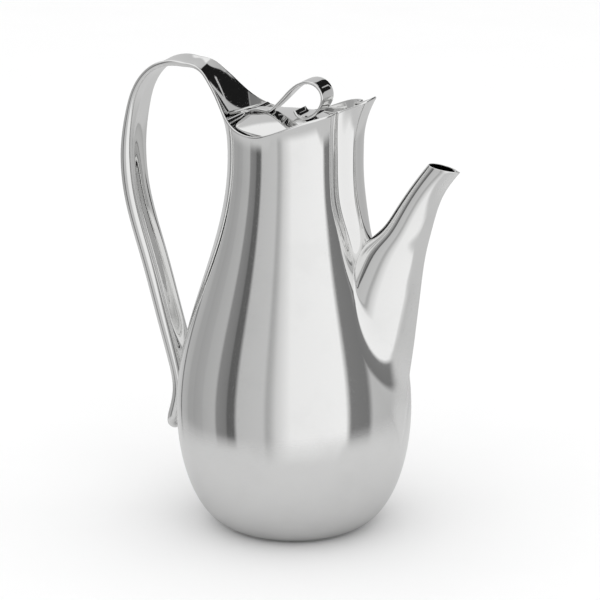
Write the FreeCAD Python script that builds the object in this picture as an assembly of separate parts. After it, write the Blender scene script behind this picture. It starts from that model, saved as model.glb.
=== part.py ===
import FreeCAD
import Part

import math
import os

# Coffee pot in polished stainless steel: a pear-shaped body whose neck wall runs over into a strap
# handle, a long tapered spout, and a hinged lid with a looped ribbon finial. Millimetres, +Z up,
# origin on the body axis at the base plane, spout towards +X, handle towards -X.

Vec = FreeCAD.Vector

# --- Body: driving sizes -------------------------------------------------------------------------
FOOT_RADIUS = 31.0          # flat ring that the pot stands on
BELLY_RADIUS = 57.6         # widest outside radius
BELLY_HEIGHT = 58.0         # height of the widest place
NECK_RADIUS = 31.6          # slimmest outside radius
NECK_HEIGHT = 185.0         # height of the slimmest place
WALL = 1.2                  # sheet thickness of body, spout and base
FOOT_RING_WIDTH = 4.0       # turned-in ring under the body
BASE_THICKNESS = 1.2        # welded bottom disc
BASE_EDGE_GAP = 0.8         # between the disc's edge and the foot's inside corner

# --- Neck, rim, nose and tongue ------------------------------------------------------------------
FLARE_HEIGHT = 33.9         # above the neck, where the flare is measured
FLARE_AT_BACK = 10.8        # outward lean of the back wall at that height
FLARE_AT_FRONT = 3.8        # outward lean of the front wall at that height
FLARE_POWER = 2.6
NOSE_ANGLE = 15.0           # half-width of the raised front rib, degrees
NOSE_SQUARENESS = 4.0       # 2 is a round rib, more is flatter across its top
NOSE_RISE = 3.4             # how far the rib stands out
NOSE_LIP = 3.8              # extra reach of the rib at its tip
NOSE_LIP_START = 10.0       # above the neck, where that reach begins
NOSE_LIP_LENGTH = 22.0
FLUTE_ANGLE = 21.0          # the groove on each side of the rib, degrees from the spout
FLUTE_LOW_ANGLE = 15.0      # the same where it runs into the spout
FLUTE_TURN = (-38.0, -14.0)  # heights above the neck between which the groove turns
FLUTE_WIDTH = 7.0           # degrees
FLUTE_DEPTH = 2.4
FLUTE_RIM_DEPTH = 1.6       # added towards the rim
FLUTE_FOOT = -60.0          # where rib and grooves die out, from the neck height
FLUTE_FULL = -36.0          # where they have their full depth
# Rim seen from the side: distance along X, and height above the neck
RIM_LINE = [(-56.0, 47.0), (-47.0, 40.0), (-41.4, 35.4), (-34.6, 28.2), (-29.0, 22.2),
            (-22.0, 17.4), (-14.0, 15.1), (-6.0, 14.9), (6.0, 18.4), (17.0, 22.8), (31.0, 27.0),
            (43.0, 32.6), (56.0, 40.0)]

# --- Handle --------------------------------------------------------------------------------------
TONGUE_HEIGHT = 33.9        # above the neck, where the neck's tongue is welded to the strap
STRAP_WIDTH = 20.0
STRAP_ROOT_WIDTH = 23.6
STRAP_TOP_THICKNESS = 2.8
STRAP_BACK_THICKNESS = 6.4
STRAP_TIP_THICKNESS = 5.0
STRAP_TIP_LENGTH = 9.0      # rounded end
WELD_BITE = 0.4             # how far strap and spout are fitted into the belly before trimming
# Loop above the neck: X, and height above the neck
LOOP_LINE = [(-50.1, 38.4), (-60.0, 40.2), (-69.7, 37.9), (-79.2, 28.6), (-84.3, 14.0),
             (-86.9, -4.0)]
# Grip beside the body: height, and distance of the strap's middle from the body
GRIP_LINE = [(156.0, 50.2), (126.0, 33.5), (96.0, 16.2), (76.0, 6.6)]
STRAP_WELD_HEIGHT = 60.0    # the strap touches the belly here
TAIL_LINE = [(48.5, 5.4), (38.0, 9.6)]  # the same measures for the tail

# --- Spout ---------------------------------------------------------------------------------------
# Height of each level, reach beyond the body wall and half-width
SPOUT_LEVELS = [(46.0, -1.0, 3.5), (62.0, 1.7, 10.0), (78.0, 4.5, 14.2), (95.0, 10.2, 17.2),
                (108.0, 15.4, 18.0), (121.0, 21.0, 17.2), (135.0, 27.0, 15.0),
                (146.0, 32.0, 12.4), (156.0, 36.8, 9.9), (166.0, 41.3, 7.7), (176.3, 46.9, 5.8)]
SPOUT_MOUTH_HEIGHT = 185.6
SPOUT_MOUTH_REACH = 54.0
SPOUT_MOUTH_HALF_WIDTH = 4.4
SPOUT_MOUTH_RISE = 2.7      # the back of the mouth stands higher than its tip
SPOUT_CROTCH_HEIGHT = 147.5
# Back edge: height above the crotch, and distance in front of the body's rib
SPOUT_BACK = [(-101.0, -14.0), (-60.0, -21.0), (-26.0, -18.0), (-11.0, -8.5), (0.0, -0.3),
              (6.0, 7.2), (16.2, 16.4), (26.6, 24.2), (40.8, 35.0)]
SPOUT_SHOULDER = 0.36       # where the section is widest, from back to front
SPOUT_FRONT_TAPER = 1.5     # 1 is an ellipse, more is sharper
STRAINER_HOLE_RADIUS = 2.5
STRAINER_PITCH = 7.5
STRAINER_ROWS = 5
STRAINER_COLUMNS = 3
STRAINER_HEIGHT = 106.0     # middle of the hole pattern

# --- Lid -----------------------------------------------------------------------------------------
LID_CLEARANCE = 0.9         # gap between lid and neck wall
LID_SHEET = 1.0
LID_TOP = 20.3              # crown, above the neck
LID_RISE = 8.8              # crown above the lid's edge at the nose
LID_CROWN_X = -6.0
LID_SKIRT = 1.8             # height of the skirt at the nose
LID_SEAT_GAP = 0.3          # running gap between skirt and seat
LID_PLATE_FIT = 0.05        # play of the closing plate inside the skirt, before it is welded
SEAT_WIDTH = 3.0
SEAT_THICKNESS = 1.0

# --- Hinge ---------------------------------------------------------------------------------------
HINGE_X = -25.0
HINGE_HEIGHT = 17.2         # above the neck
PIN_RADIUS = 1.1
BARREL_RADIUS = 2.0
BARREL_GAP = 0.25           # each side of the knuckle
PIN_LENGTH = 34.0
HINGE_FIT = 0.05            # radial running clearance on the pin
LID_BACK_GAP = 1.5          # lid edge in front of the barrels

# --- Ribbon finial -------------------------------------------------------------------------------
RIBBON_THICKNESS = 1.4
RIBBON_NARROW = 6.6         # at the hinge
RIBBON_WIDE = 12.8          # round the loop
RIBBON_TAPER = (-18.0, 4.0)
KNUCKLE_WRAP = 270.0        # degrees of the roll round the pin
# Middle of the strip after the knuckle: X, and height above the lid's crown
RIBBON_LINE = [(-20.5, -0.1), (-16.0, 0.35), (-12.0, 0.42), (-8.6, 2.6), (-3.2, 8.0), (1.6, 12.8),
               (6.3, 15.9), (10.9, 16.7), (15.1, 14.8), (17.3, 10.9), (16.7, 6.3), (13.4, 1.9),
               (8.4, -0.65), (4.6, 0.2), (3.0, 2.4)]

# How finely the smooth surfaces are laid out
SECTION_POINTS = 72
FOOT_RINGS = 7
BELLY_RINGS = 6
NECK_RINGS = 9
FLARE_RINGS = 8
FLARE_RING_STEP = 6.0
TALL = 400.0


def natural_spline(points):
    """Return a function for the smooth curve y(x) through points in rising x."""
    xs = [p[0] for p in points]
    ys = [p[1] for p in points]
    n = len(xs)
    gap = [xs[i + 1] - xs[i] for i in range(n - 1)]
    slope = [(ys[i + 1] - ys[i]) / gap[i] for i in range(n - 1)]
    upper = [0.0] * n
    value = [0.0] * n
    for i in range(1, n - 1):
        pivot = 2.0 * (gap[i - 1] + gap[i]) - gap[i - 1] * upper[i - 1]
        upper[i] = gap[i] / pivot
        value[i] = (6.0 * (slope[i] - slope[i - 1]) - gap[i - 1] * value[i - 1]) / pivot
    bend = [0.0] * n
    for i in range(n - 2, 0, -1):
        bend[i] = value[i] - upper[i] * bend[i + 1]

    def curve(x):
        i = max(0, min(n - 2, sum(1 for k in xs[1:-1] if k <= x)))
        h = gap[i]
        a = (xs[i + 1] - x) / h
        b = (x - xs[i]) / h
        cubic = (a ** 3 - a) * bend[i] + (b ** 3 - b) * bend[i + 1]
        return a * ys[i] + b * ys[i + 1] + cubic * h * h / 6.0

    return curve


def smooth_step(x, start, end):
    """Rise softly from 0 at start to 1 at end."""
    t = max(0.0, min(1.0, (x - start) / (end - start)))
    return t * t * (3.0 - 2.0 * t)


def bell(angle, width, power=2.0):
    return math.exp(-abs(angle / width) ** power)


# --- Body surface --------------------------------------------------------------------------------
def plain_radius(z):
    """Outside radius of the round body: quarter ellipse below the belly, cosine wave above."""
    if z < BELLY_HEIGHT:
        drop = (BELLY_HEIGHT - z) / BELLY_HEIGHT
        return FOOT_RADIUS + (BELLY_RADIUS - FOOT_RADIUS) * math.sqrt(max(0.0, 1.0 - drop ** 2))
    t = min(1.0, (z - BELLY_HEIGHT) / (NECK_HEIGHT - BELLY_HEIGHT))
    return NECK_RADIUS + (BELLY_RADIUS - NECK_RADIUS) * (1.0 + math.cos(math.pi * t)) / 2.0


def body_radius(angle, z):
    """Outside radius with the flare, the front rib and its two grooves; angle in degrees."""
    turn = abs((angle + 180.0) % 360.0 - 180.0)
    above = z - NECK_HEIGHT
    front = (1.0 + math.cos(math.radians(turn))) / 2.0
    flare = FLARE_AT_BACK + (FLARE_AT_FRONT - FLARE_AT_BACK) * front
    lean = flare * (max(0.0, above) / FLARE_HEIGHT) ** FLARE_POWER
    rise = smooth_step(above, FLUTE_FOOT, FLUTE_FULL)
    lip = NOSE_LIP * (max(0.0, above - NOSE_LIP_START) / NOSE_LIP_LENGTH) ** 2
    rib = (NOSE_RISE * rise + lip) * bell(turn, NOSE_ANGLE, NOSE_SQUARENESS)
    deep = FLUTE_DEPTH * rise + FLUTE_RIM_DEPTH * smooth_step(above, 0.0, FLARE_HEIGHT)
    swing = smooth_step(above, *FLUTE_TURN)
    centre = FLUTE_LOW_ANGLE + (FLUTE_ANGLE - FLUTE_LOW_ANGLE) * swing
    groove = deep * bell(turn - centre, FLUTE_WIDTH)
    return plain_radius(z) + lean + rib - groove


def wall_radius(angle, z, inset):
    """Radius of the surface that lies inset inside the body's outside."""
    step = 0.5
    slope = (body_radius(angle, z + step) - body_radius(angle, z - step)) / (2.0 * step)
    return body_radius(angle, z) - inset * math.sqrt(1.0 + slope ** 2)


def ring_wire(z, inset):
    """Closed smooth section of the body at a height."""
    points = []
    for i in range(SECTION_POINTS):
        angle = 360.0 * i / SECTION_POINTS
        r = wall_radius(angle, z, inset)
        points.append(Vec(r * math.cos(math.radians(angle)), r * math.sin(math.radians(angle)), z))
    curve = Part.BSplineCurve()
    curve.interpolate(Points=points, PeriodicFlag=True)
    return Part.Wire(curve.toShape())


def foot_rings(inset):
    """Heights and radii of the rings on the quarter ellipse between foot and belly."""
    rings = []
    wide = BELLY_RADIUS - FOOT_RADIUS
    for i in range(FOOT_RINGS):
        turn = math.pi / 2.0 * i / FOOT_RINGS
        out = math.sin(turn) / wide
        down = math.cos(turn) / BELLY_HEIGHT
        scale = inset / math.hypot(out, down)
        r = FOOT_RADIUS + wide * math.sin(turn) - out * scale
        rings.append((BELLY_HEIGHT * (1.0 - math.cos(turn)) + down * scale, r))
    return rings


def round_wire(z, radius):
    points = []
    for i in range(SECTION_POINTS):
        angle = 2.0 * math.pi * i / SECTION_POINTS
        points.append(Vec(radius * math.cos(angle), radius * math.sin(angle), z))
    curve = Part.BSplineCurve()
    curve.interpolate(Points=points, PeriodicFlag=True)
    return Part.Wire(curve.toShape())


def body_solid(inset):
    """Filled body, inset from the outside; it reaches above the rim."""
    join = NECK_HEIGHT + FLUTE_FOOT
    wires = [round_wire(z, r) for z, r in foot_rings(inset)]
    wires += [ring_wire(BELLY_HEIGHT + (join - BELLY_HEIGHT) * i / BELLY_RINGS, inset)
              for i in range(BELLY_RINGS)]
    wires += [ring_wire(join + (NECK_HEIGHT - join) * i / NECK_RINGS, inset)
              for i in range(NECK_RINGS)]
    wires += [ring_wire(NECK_HEIGHT + FLARE_RING_STEP * i, inset) for i in range(FLARE_RINGS)]
    return Part.makeLoft(wires, True, False)


def rim_tool():
    """Everything above the rim line."""
    points = [Vec(x, 0.0, NECK_HEIGHT + up) for x, up in RIM_LINE]
    curve = Part.BSplineCurve()
    curve.interpolate(points)
    corners = [points[-1], Vec(points[-1].x, 0, TALL), Vec(points[0].x, 0, TALL), points[0]]
    sides = [Part.makeLine(a, b) for a, b in zip(corners, corners[1:])]
    face = Part.Face(Part.Wire([curve.toShape()] + sides))
    face.translate(Vec(0.0, -TALL / 2.0, 0.0))
    return face.extrude(Vec(0.0, TALL, 0.0))


# --- Handle --------------------------------------------------------------------------------------
def curve_through(points):
    """Smooth curve in the XZ plane; returns its length and functions for place and direction."""
    lengths = [0.0]
    for a, b in zip(points, points[1:]):
        lengths.append(lengths[-1] + math.hypot(b[0] - a[0], b[1] - a[1]))
    along_x = natural_spline([(s, p[0]) for s, p in zip(lengths, points)])
    along_z = natural_spline([(s, p[1]) for s, p in zip(lengths, points)])

    def place(s):
        return Vec(along_x(s), 0.0, along_z(s))

    def direction(s):
        return (place(s + 0.05) - place(s - 0.05)).normalize()

    return lengths, place, direction


def strap_points():
    """Middle line of the strap: two points on the neck wall, the loop, the grip and the tail."""
    weld = NECK_HEIGHT + TONGUE_HEIGHT
    points = [(-wall_radius(180.0, z, WALL / 2.0), z) for z in (weld - 7.0, weld)]
    points += [(x, NECK_HEIGHT + up) for x, up in LOOP_LINE]
    points += [(-plain_radius(z) - gap, z) for z, gap in GRIP_LINE]
    touch = plain_radius(STRAP_WELD_HEIGHT) + STRAP_BACK_THICKNESS / 2.0 - WELD_BITE
    points.append((-touch, STRAP_WELD_HEIGHT))
    points += [(-plain_radius(z) - gap, z) for z, gap in TAIL_LINE]
    return points


def strap_shape(s, start, end):
    """Width, thickness and dish of the strap at a distance along it."""
    t = (s - start) / (end - start)
    width = STRAP_WIDTH + (STRAP_ROOT_WIDTH - STRAP_WIDTH) * (1.0 - smooth_step(t, 0.0, 0.12))
    tip = max(0.0, (s - (end - STRAP_TIP_LENGTH)) / STRAP_TIP_LENGTH)
    width *= max(0.3, math.sqrt(max(0.0, 1.0 - tip ** 2)))
    thick = WALL + (STRAP_TOP_THICKNESS - WALL) * smooth_step(t, 0.0, 0.1)
    thick += (STRAP_BACK_THICKNESS - STRAP_TOP_THICKNESS) * smooth_step(t, 0.12, 0.42)
    thick += (STRAP_TIP_THICKNESS - STRAP_BACK_THICKNESS) * tip
    reach = body_radius(180.0, NECK_HEIGHT + TONGUE_HEIGHT)
    neck_dish = (STRAP_ROOT_WIDTH / 2.0) ** 2 / (2.0 * reach)
    belly_dish = (STRAP_WIDTH / 2.0) ** 2 / (2.0 * BELLY_RADIUS)
    dish = neck_dish * (1.0 - smooth_step(t, 0.0, 0.2)) - belly_dish * smooth_step(t, 0.4, 0.85)
    return width, thick, dish


def strap_wire(centre, forward, width, thick, dish):
    """Cross-section: two long faces that may be dished, and full round edges."""
    out = Vec(forward.z, 0.0, -forward.x)
    flat = width / 2.0 - thick / 2.0

    def spot(share, side):
        return centre + Vec(0.0, share * flat, 0.0) + out * (dish * share ** 2 + side * thick / 2.0)

    def face(side):
        curve = Part.BSplineCurve()
        curve.interpolate([spot(share * side, side) for share in (-1.0, -0.5, 0.0, 0.5, 1.0)])
        return curve.toShape()

    def edge(share):
        tip = centre + Vec(0.0, share * width / 2.0, 0.0) + out * dish
        return Part.Arc(spot(share, share), tip, spot(share, -share)).toShape()

    return Part.Wire([face(1.0), edge(1.0), face(-1.0), edge(-1.0)])


def handle_strap():
    lengths, place, direction = curve_through(strap_points())
    start = lengths[1]
    end = lengths[-1]
    body_part = [start + (end - STRAP_TIP_LENGTH - start) * i / 26.0 for i in range(27)]
    tip_part = [end - STRAP_TIP_LENGTH * (1.0 - k) for k in (0.3, 0.55, 0.75, 0.88, 0.955)]
    wires = []
    for s in body_part + tip_part:
        wires.append(strap_wire(place(s), direction(s), *strap_shape(s, start, end)))
    return Part.makeLoft(wires, True, False)


def tongue_tool():
    """Everything past the weld between the neck's tongue and the strap."""
    lengths, place, direction = curve_through(strap_points())
    size = TALL
    box = Part.makeBox(size, size, size, Vec(-size / 2.0, -size / 2.0, 0.0))
    turn = FreeCAD.Rotation(Vec(0, 0, 1), direction(lengths[1]))
    box.Placement = FreeCAD.Placement(place(lengths[1]), turn)
    reach = NECK_RADIUS
    keep = Part.makeBox(size, size, size, Vec(-size - reach, -size / 2.0, 0.0))
    return box.common(keep)


# --- Spout ---------------------------------------------------------------------------------------
def spout_levels():
    """Front point, back point and half-width of each spout section, from foot to mouth."""
    mouth = (SPOUT_MOUTH_HEIGHT, SPOUT_MOUTH_REACH, SPOUT_MOUTH_HALF_WIDTH)
    rows = SPOUT_LEVELS + [mouth]
    back_line = natural_spline(SPOUT_BACK)
    foot = rows[0][0]
    levels = []
    for z, reach, half_width in rows:
        share = (z - foot) / (SPOUT_MOUTH_HEIGHT - foot)
        back_z = z + SPOUT_MOUTH_RISE * share ** 2
        back_x = body_radius(0.0, back_z) + back_line(back_z - SPOUT_CROTCH_HEIGHT)
        levels.append((Vec(plain_radius(z) + reach, 0, z), Vec(back_x, 0, back_z), half_width))
    return levels


def spout_wire(front, back, half_width, inset):
    """Egg-shaped section, round at the back and sharper at the front."""
    span = front - back
    along = Vec(span).normalize()
    length = span.Length - 2.0 * inset
    origin = back + along * inset
    wide = half_width - inset
    quarter = 9
    outline = []
    for i in range(2 * quarter + 1):
        a = math.pi / 2.0 * (i / quarter - 1.0)
        if a < 0.0:
            u = SPOUT_SHOULDER * (1.0 + math.sin(a))
            y = wide * math.cos(a)
        else:
            u = SPOUT_SHOULDER + (1.0 - SPOUT_SHOULDER) * math.sin(a)
            y = wide * max(0.0, math.cos(a)) ** SPOUT_FRONT_TAPER
        outline.append((u, y))
    points = [origin + along * (u * length) + Vec(0, y, 0) for u, y in outline]
    points += [origin + along * (u * length) - Vec(0, y, 0) for u, y in outline[-2:0:-1]]
    curve = Part.BSplineCurve()
    curve.interpolate(Points=points, PeriodicFlag=True)
    return Part.Wire(curve.toShape())


def spout_solid(inset):
    levels = spout_levels()
    wires = [spout_wire(front, back, wide, inset) for front, back, wide in levels]
    return Part.makeLoft(wires, True, False)


def strainer_holes():
    """Round holes through the body wall behind the spout."""
    holes = []
    for row in range(STRAINER_ROWS):
        z = STRAINER_HEIGHT + (row - (STRAINER_ROWS - 1) / 2.0) * STRAINER_PITCH
        for column in range(STRAINER_COLUMNS):
            y = (column - (STRAINER_COLUMNS - 1) / 2.0) * STRAINER_PITCH
            start = Vec(NECK_RADIUS / 2.0, y, z)
            length = plain_radius(z) - start.x + 1.0
            holes.append(Part.makeCylinder(STRAINER_HOLE_RADIUS, length, start, Vec(1, 0, 0)))
    return holes


# --- Lid -----------------------------------------------------------------------------------------
def lid_prism(bottom, height, radius_z, inset, back_x):
    """Upright prism with the neck's inner outline, cut off straight behind back_x."""
    points = []
    for i in range(SECTION_POINTS):
        angle = 360.0 * i / SECTION_POINTS
        r = wall_radius(angle, radius_z, WALL) - inset
        points.append(Vec(r * math.cos(math.radians(angle)), r * math.sin(math.radians(angle)),
                          bottom))
    curve = Part.BSplineCurve()
    curve.interpolate(Points=points, PeriodicFlag=True)
    prism = Part.Face(Part.Wire(curve.toShape())).extrude(Vec(0, 0, height))
    keep = Part.makeBox(TALL, TALL, TALL, Vec(back_x, -TALL / 2.0, 0.0))
    return prism.common(keep)


def lid_numbers():
    """Skirt bottom, crown height and crown radius of the lid."""
    bottom = NECK_HEIGHT + LID_TOP - LID_RISE - LID_SKIRT
    crown = NECK_HEIGHT + LID_TOP
    edge = wall_radius(0.0, bottom, WALL) - LID_CLEARANCE - LID_CROWN_X
    return bottom, crown, (edge ** 2 + LID_RISE ** 2) / (2.0 * LID_RISE)


def lid_back():
    return HINGE_X + BARREL_RADIUS + LID_BACK_GAP


def lid_dome():
    bottom, crown, ball = lid_numbers()
    centre = Vec(LID_CROWN_X, 0.0, crown - ball)
    outer = lid_prism(bottom, TALL, bottom, LID_CLEARANCE, lid_back())
    outer = outer.common(Part.makeSphere(ball, centre))
    inner = lid_prism(bottom, TALL, bottom, LID_CLEARANCE + LID_SHEET, lid_back() + LID_SHEET)
    inner = inner.common(Part.makeSphere(ball - LID_SHEET, centre))
    return outer.cut(inner)


def lid_underside():
    bottom, crown, ball = lid_numbers()
    inset = LID_SHEET + LID_PLATE_FIT
    plate = lid_prism(bottom, LID_SHEET, bottom, LID_CLEARANCE + inset, lid_back() + inset)
    return plate.common(Part.makeSphere(ball - inset, Vec(LID_CROWN_X, 0.0, crown - ball)))


def lid_seat_ring(inner_body):
    top = lid_numbers()[0] - LID_SEAT_GAP
    low = top - SEAT_THICKNESS
    slab = Part.makeBox(TALL, TALL, SEAT_THICKNESS, Vec(-TALL / 2.0, -TALL / 2.0, low))
    hole = lid_prism(low, SEAT_THICKNESS, low, SEAT_WIDTH, -TALL / 2.0)
    return inner_body.common(slab).cut(hole)


# --- Hinge ---------------------------------------------------------------------------------------
def hinge_centre():
    return Vec(HINGE_X, 0.0, NECK_HEIGHT + HINGE_HEIGHT)


def rod(radius, start_y, end_y):
    """Cylinder along Y on the hinge axis."""
    return Part.makeCylinder(radius, end_y - start_y, hinge_centre() + Vec(0, start_y, 0),
                             Vec(0, 1, 0))


def hinge_barrel(side, inner_body):
    """Tube from the knuckle to the neck wall, trimmed to the wall."""
    near = RIBBON_NARROW / 2.0 + BARREL_GAP
    far = 2.0 * NECK_RADIUS
    span = (near, far) if side > 0 else (-far, -near)
    return rod(BARREL_RADIUS, *span).common(inner_body).cut(hinge_pin())


def hinge_pin():
    return rod(PIN_RADIUS, -PIN_LENGTH / 2.0, PIN_LENGTH / 2.0)


# --- Ribbon finial -------------------------------------------------------------------------------
def ribbon_points():
    """Middle line of the strip: the roll round the pin, then the free run."""
    roll = PIN_RADIUS + HINGE_FIT + RIBBON_THICKNESS / 2.0
    centre = hinge_centre()
    count = int(KNUCKLE_WRAP / 15.0)
    points = []
    for i in range(count + 1):
        angle = math.radians(90.0 + KNUCKLE_WRAP * (1.0 - i / count))
        points.append((centre.x + roll * math.cos(angle), centre.z + roll * math.sin(angle)))
    crown = lid_numbers()[1]
    return points + [(x, crown + up) for x, up in RIBBON_LINE]


def ribbon_finial(dome):
    lengths, place, direction = curve_through(ribbon_points())
    count = 150
    sides = []
    for side in (1.0, -1.0):
        points = []
        for i in range(count + 1):
            s = lengths[-1] * i / count
            forward = direction(s)
            out = Vec(-forward.z, 0.0, forward.x)
            points.append(place(s) + out * (side * RIBBON_THICKNESS / 2.0))
        curve = Part.BSplineCurve()
        curve.interpolate(points)
        sides.append((curve, points))
    (upper, top), (lower, low) = sides
    edges = [upper.toShape(), Part.makeLine(top[-1], low[-1]), lower.toShape(),
             Part.makeLine(low[0], top[0])]
    face = Part.Face(Part.Wire(Part.__sortEdges__(edges)))
    face.translate(Vec(0.0, -RIBBON_WIDE / 2.0, 0.0))
    strip = face.extrude(Vec(0.0, RIBBON_WIDE, 0.0))
    return strip.common(ribbon_plan()).cut(dome)


def ribbon_plan():
    """Upright prism that gives the strip its narrow hinge end and its wide loop."""
    start, end = RIBBON_TAPER
    narrow = RIBBON_NARROW / 2.0
    wide = RIBBON_WIDE / 2.0
    half = [(-TALL / 2.0, narrow), (start, narrow), (end, wide), (TALL / 2.0, wide)]
    outline = [Vec(x, y, 0.0) for x, y in half] + [Vec(x, -y, 0.0) for x, y in reversed(half)]
    return Part.Face(Part.makePolygon(outline + outline[:1])).extrude(Vec(0.0, 0.0, TALL))


# --- Assembly ------------------------------------------------------------------------------------
def base_disc():
    """Bottom plate, lap-welded on top of the turned-in foot ring."""
    return Part.makeCylinder(FOOT_RADIUS - BASE_EDGE_GAP, BASE_THICKNESS, Vec(0, 0, WALL))


def build():
    outer = body_solid(0.0)
    inner = body_solid(WALL)
    above = rim_tool()
    past_tongue = tongue_tool()
    well = Part.makeCylinder(FOOT_RADIUS - FOOT_RING_WIDTH, 2.0 * WALL, Vec(0, 0, -WALL / 2.0))
    under = Part.makeBox(TALL, TALL, TALL, Vec(-TALL / 2.0, -TALL / 2.0, -TALL))
    shell = outer.cut(inner).cut(above).cut(past_tongue).cut(well).cut(under)
    shell = shell.cut(Part.makeCompound(strainer_holes()))
    spout = spout_solid(0.0).cut(spout_solid(WALL)).cut(outer)
    dome = lid_dome()
    return {
        "body_shell": shell,
        "base_disc": base_disc(),
        "handle_strap": handle_strap().cut(outer.cut(past_tongue)),
        "spout_tube": spout,
        "lid_seat_ring": lid_seat_ring(inner),
        "hinge_barrel_left": hinge_barrel(-1, inner),
        "hinge_barrel_right": hinge_barrel(1, inner),
        "hinge_pin": hinge_pin(),
        "lid_dome": dome,
        "lid_underside": lid_underside(),
        "ribbon_finial": ribbon_finial(dome),
    }


def largest_solid(shape):
    """The piece itself, without the loose scraps that trimming leaves."""
    return max(shape.Solids, key=lambda solid: solid.Volume)


def write_parts():
    os.makedirs("parts", exist_ok=True)
    for name, shape in build().items():
        solid = largest_solid(shape)
        box = solid.BoundBox
        print(f"{name:20s} volume {solid.Volume / 1000.0:8.3f} cm3, {len(shape.Solids)} solids, "
              f"valid {solid.isValid()}, x {box.XMin:7.2f} {box.XMax:7.2f}, "
              f"y {box.YMin:7.2f} {box.YMax:7.2f}, z {box.ZMin:7.2f} {box.ZMax:7.2f}")
        solid.exportStep(f"parts/{name}.step")


write_parts()
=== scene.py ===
# %% [markdown]
# # A polished steel coffee pot
# The pot is pressed and welded from stainless sheet and polished until the welds vanish. The
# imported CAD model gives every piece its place; this script makes the smooth, dense surfaces that a
# mirror finish needs, and the finishes themselves. A mirror shows every facet, so the main pieces
# are drawn again from the same rules that shaped them, not from the CAD model's triangles.

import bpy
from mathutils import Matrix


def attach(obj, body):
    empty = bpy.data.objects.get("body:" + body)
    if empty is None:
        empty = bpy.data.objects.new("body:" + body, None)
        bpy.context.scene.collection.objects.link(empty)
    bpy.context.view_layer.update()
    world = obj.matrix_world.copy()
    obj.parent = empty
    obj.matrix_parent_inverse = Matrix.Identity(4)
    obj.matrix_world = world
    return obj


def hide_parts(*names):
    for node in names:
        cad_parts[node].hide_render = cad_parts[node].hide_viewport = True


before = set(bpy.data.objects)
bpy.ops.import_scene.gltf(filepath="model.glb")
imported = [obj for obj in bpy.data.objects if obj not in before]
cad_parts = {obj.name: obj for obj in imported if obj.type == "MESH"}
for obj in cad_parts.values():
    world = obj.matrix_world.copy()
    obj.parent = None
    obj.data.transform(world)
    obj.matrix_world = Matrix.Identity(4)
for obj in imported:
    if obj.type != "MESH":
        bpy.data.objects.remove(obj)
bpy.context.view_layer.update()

import math

import bmesh
import bpy
import numpy as np
from mathutils import Vector

# %% [markdown]
# ## Sizes
# All sizes are in millimetres, as a metalworker writes them, and are turned into metres only when a
# mesh is made. They are the sizes that the CAD model was built from. Two details are drawn here
# only: the hollow along the inner side of the handle, and the thin lip of the spout.

# %% Sizes of the pot
MM = 0.001
FOOT_RADIUS = 31.0
FOOT_RING_WIDTH = 4.0
BELLY_RADIUS = 57.6
BELLY_HEIGHT = 58.0
NECK_RADIUS = 31.6
NECK_HEIGHT = 185.0
WALL = 1.2
FLARE_HEIGHT = 33.9
FLARE_AT_BACK = 10.8
FLARE_AT_FRONT = 3.8
FLARE_POWER = 2.6
NOSE_ANGLE = 15.0
NOSE_SQUARENESS = 4.0
NOSE_RISE = 3.4
NOSE_LIP = 3.8
NOSE_LIP_START = 10.0
NOSE_LIP_LENGTH = 22.0
FLUTE_ANGLE = 21.0
FLUTE_LOW_ANGLE = 15.0
FLUTE_TURN = (-38.0, -14.0)
FLUTE_WIDTH = 7.0
FLUTE_DEPTH = 2.4
FLUTE_RIM_DEPTH = 1.6
FLUTE_FOOT = -60.0
FLUTE_FULL = -36.0
SLOPE_STEP = 0.5            # height over which the wall's slope is measured, up and down
RIM_LINE = [(-56.0, 47.0), (-47.0, 40.0), (-41.4, 35.4), (-34.6, 28.2), (-29.0, 22.2),
            (-22.0, 17.4), (-14.0, 15.1), (-6.0, 14.9), (6.0, 18.4), (17.0, 22.8), (31.0, 27.0),
            (43.0, 32.6), (56.0, 40.0)]

# %% [markdown]
# ## Curves and soft steps
# A drawn outline is a few points with a smooth curve through them. The natural cubic spline is the
# curve a thin steel rule takes when it is bent round pins, which suits sheet metal. A soft step
# fades one shape into the next without a kink.

# %% Curve helpers
class SmoothCurve:
    """The natural cubic spline y(x) through points in rising x; works on arrays."""

    def __init__(self, points):
        self.x, self.y = np.array(points, float).T
        h = np.diff(self.x)
        slope = np.diff(self.y) / h
        n = len(h)
        system = np.eye(n + 1)
        right = np.zeros(n + 1)
        for i in range(1, n):
            system[i, i - 1:i + 2] = h[i - 1], 2 * (h[i - 1] + h[i]), h[i]
            right[i] = 6 * (slope[i] - slope[i - 1])
        self.bend = np.linalg.solve(system, right)
        self.h = h

    def __call__(self, x):
        x = np.asarray(x, float)
        i = np.clip(np.searchsorted(self.x, x, side="right") - 1, 0, len(self.h) - 1)
        h = self.h[i]
        a = (self.x[i + 1] - x) / h
        b = (x - self.x[i]) / h
        cubic = (a ** 3 - a) * self.bend[i] + (b ** 3 - b) * self.bend[i + 1]
        return a * self.y[i] + b * self.y[i + 1] + cubic * h * h / 6


def soft_step(x, start, end):
    t = np.clip((x - start) / (end - start), 0, 1)
    return t * t * (3 - 2 * t)


def bell(x, width, power=2.0):
    return np.exp(-np.abs(x / width) ** power)


def unit(v):
    return v / np.maximum(np.linalg.norm(v, axis=-1, keepdims=True), 1e-12)


# %% [markdown]
# ## The rule of the body
# Below the belly the body is a quarter ellipse, above it a cosine wave that runs into the neck.
# Both have the same curvature where they meet, so no line shows in the polish. The neck leans out
# towards the rim, most of all at the back, and a rib with a groove on each side runs up the front.

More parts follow.
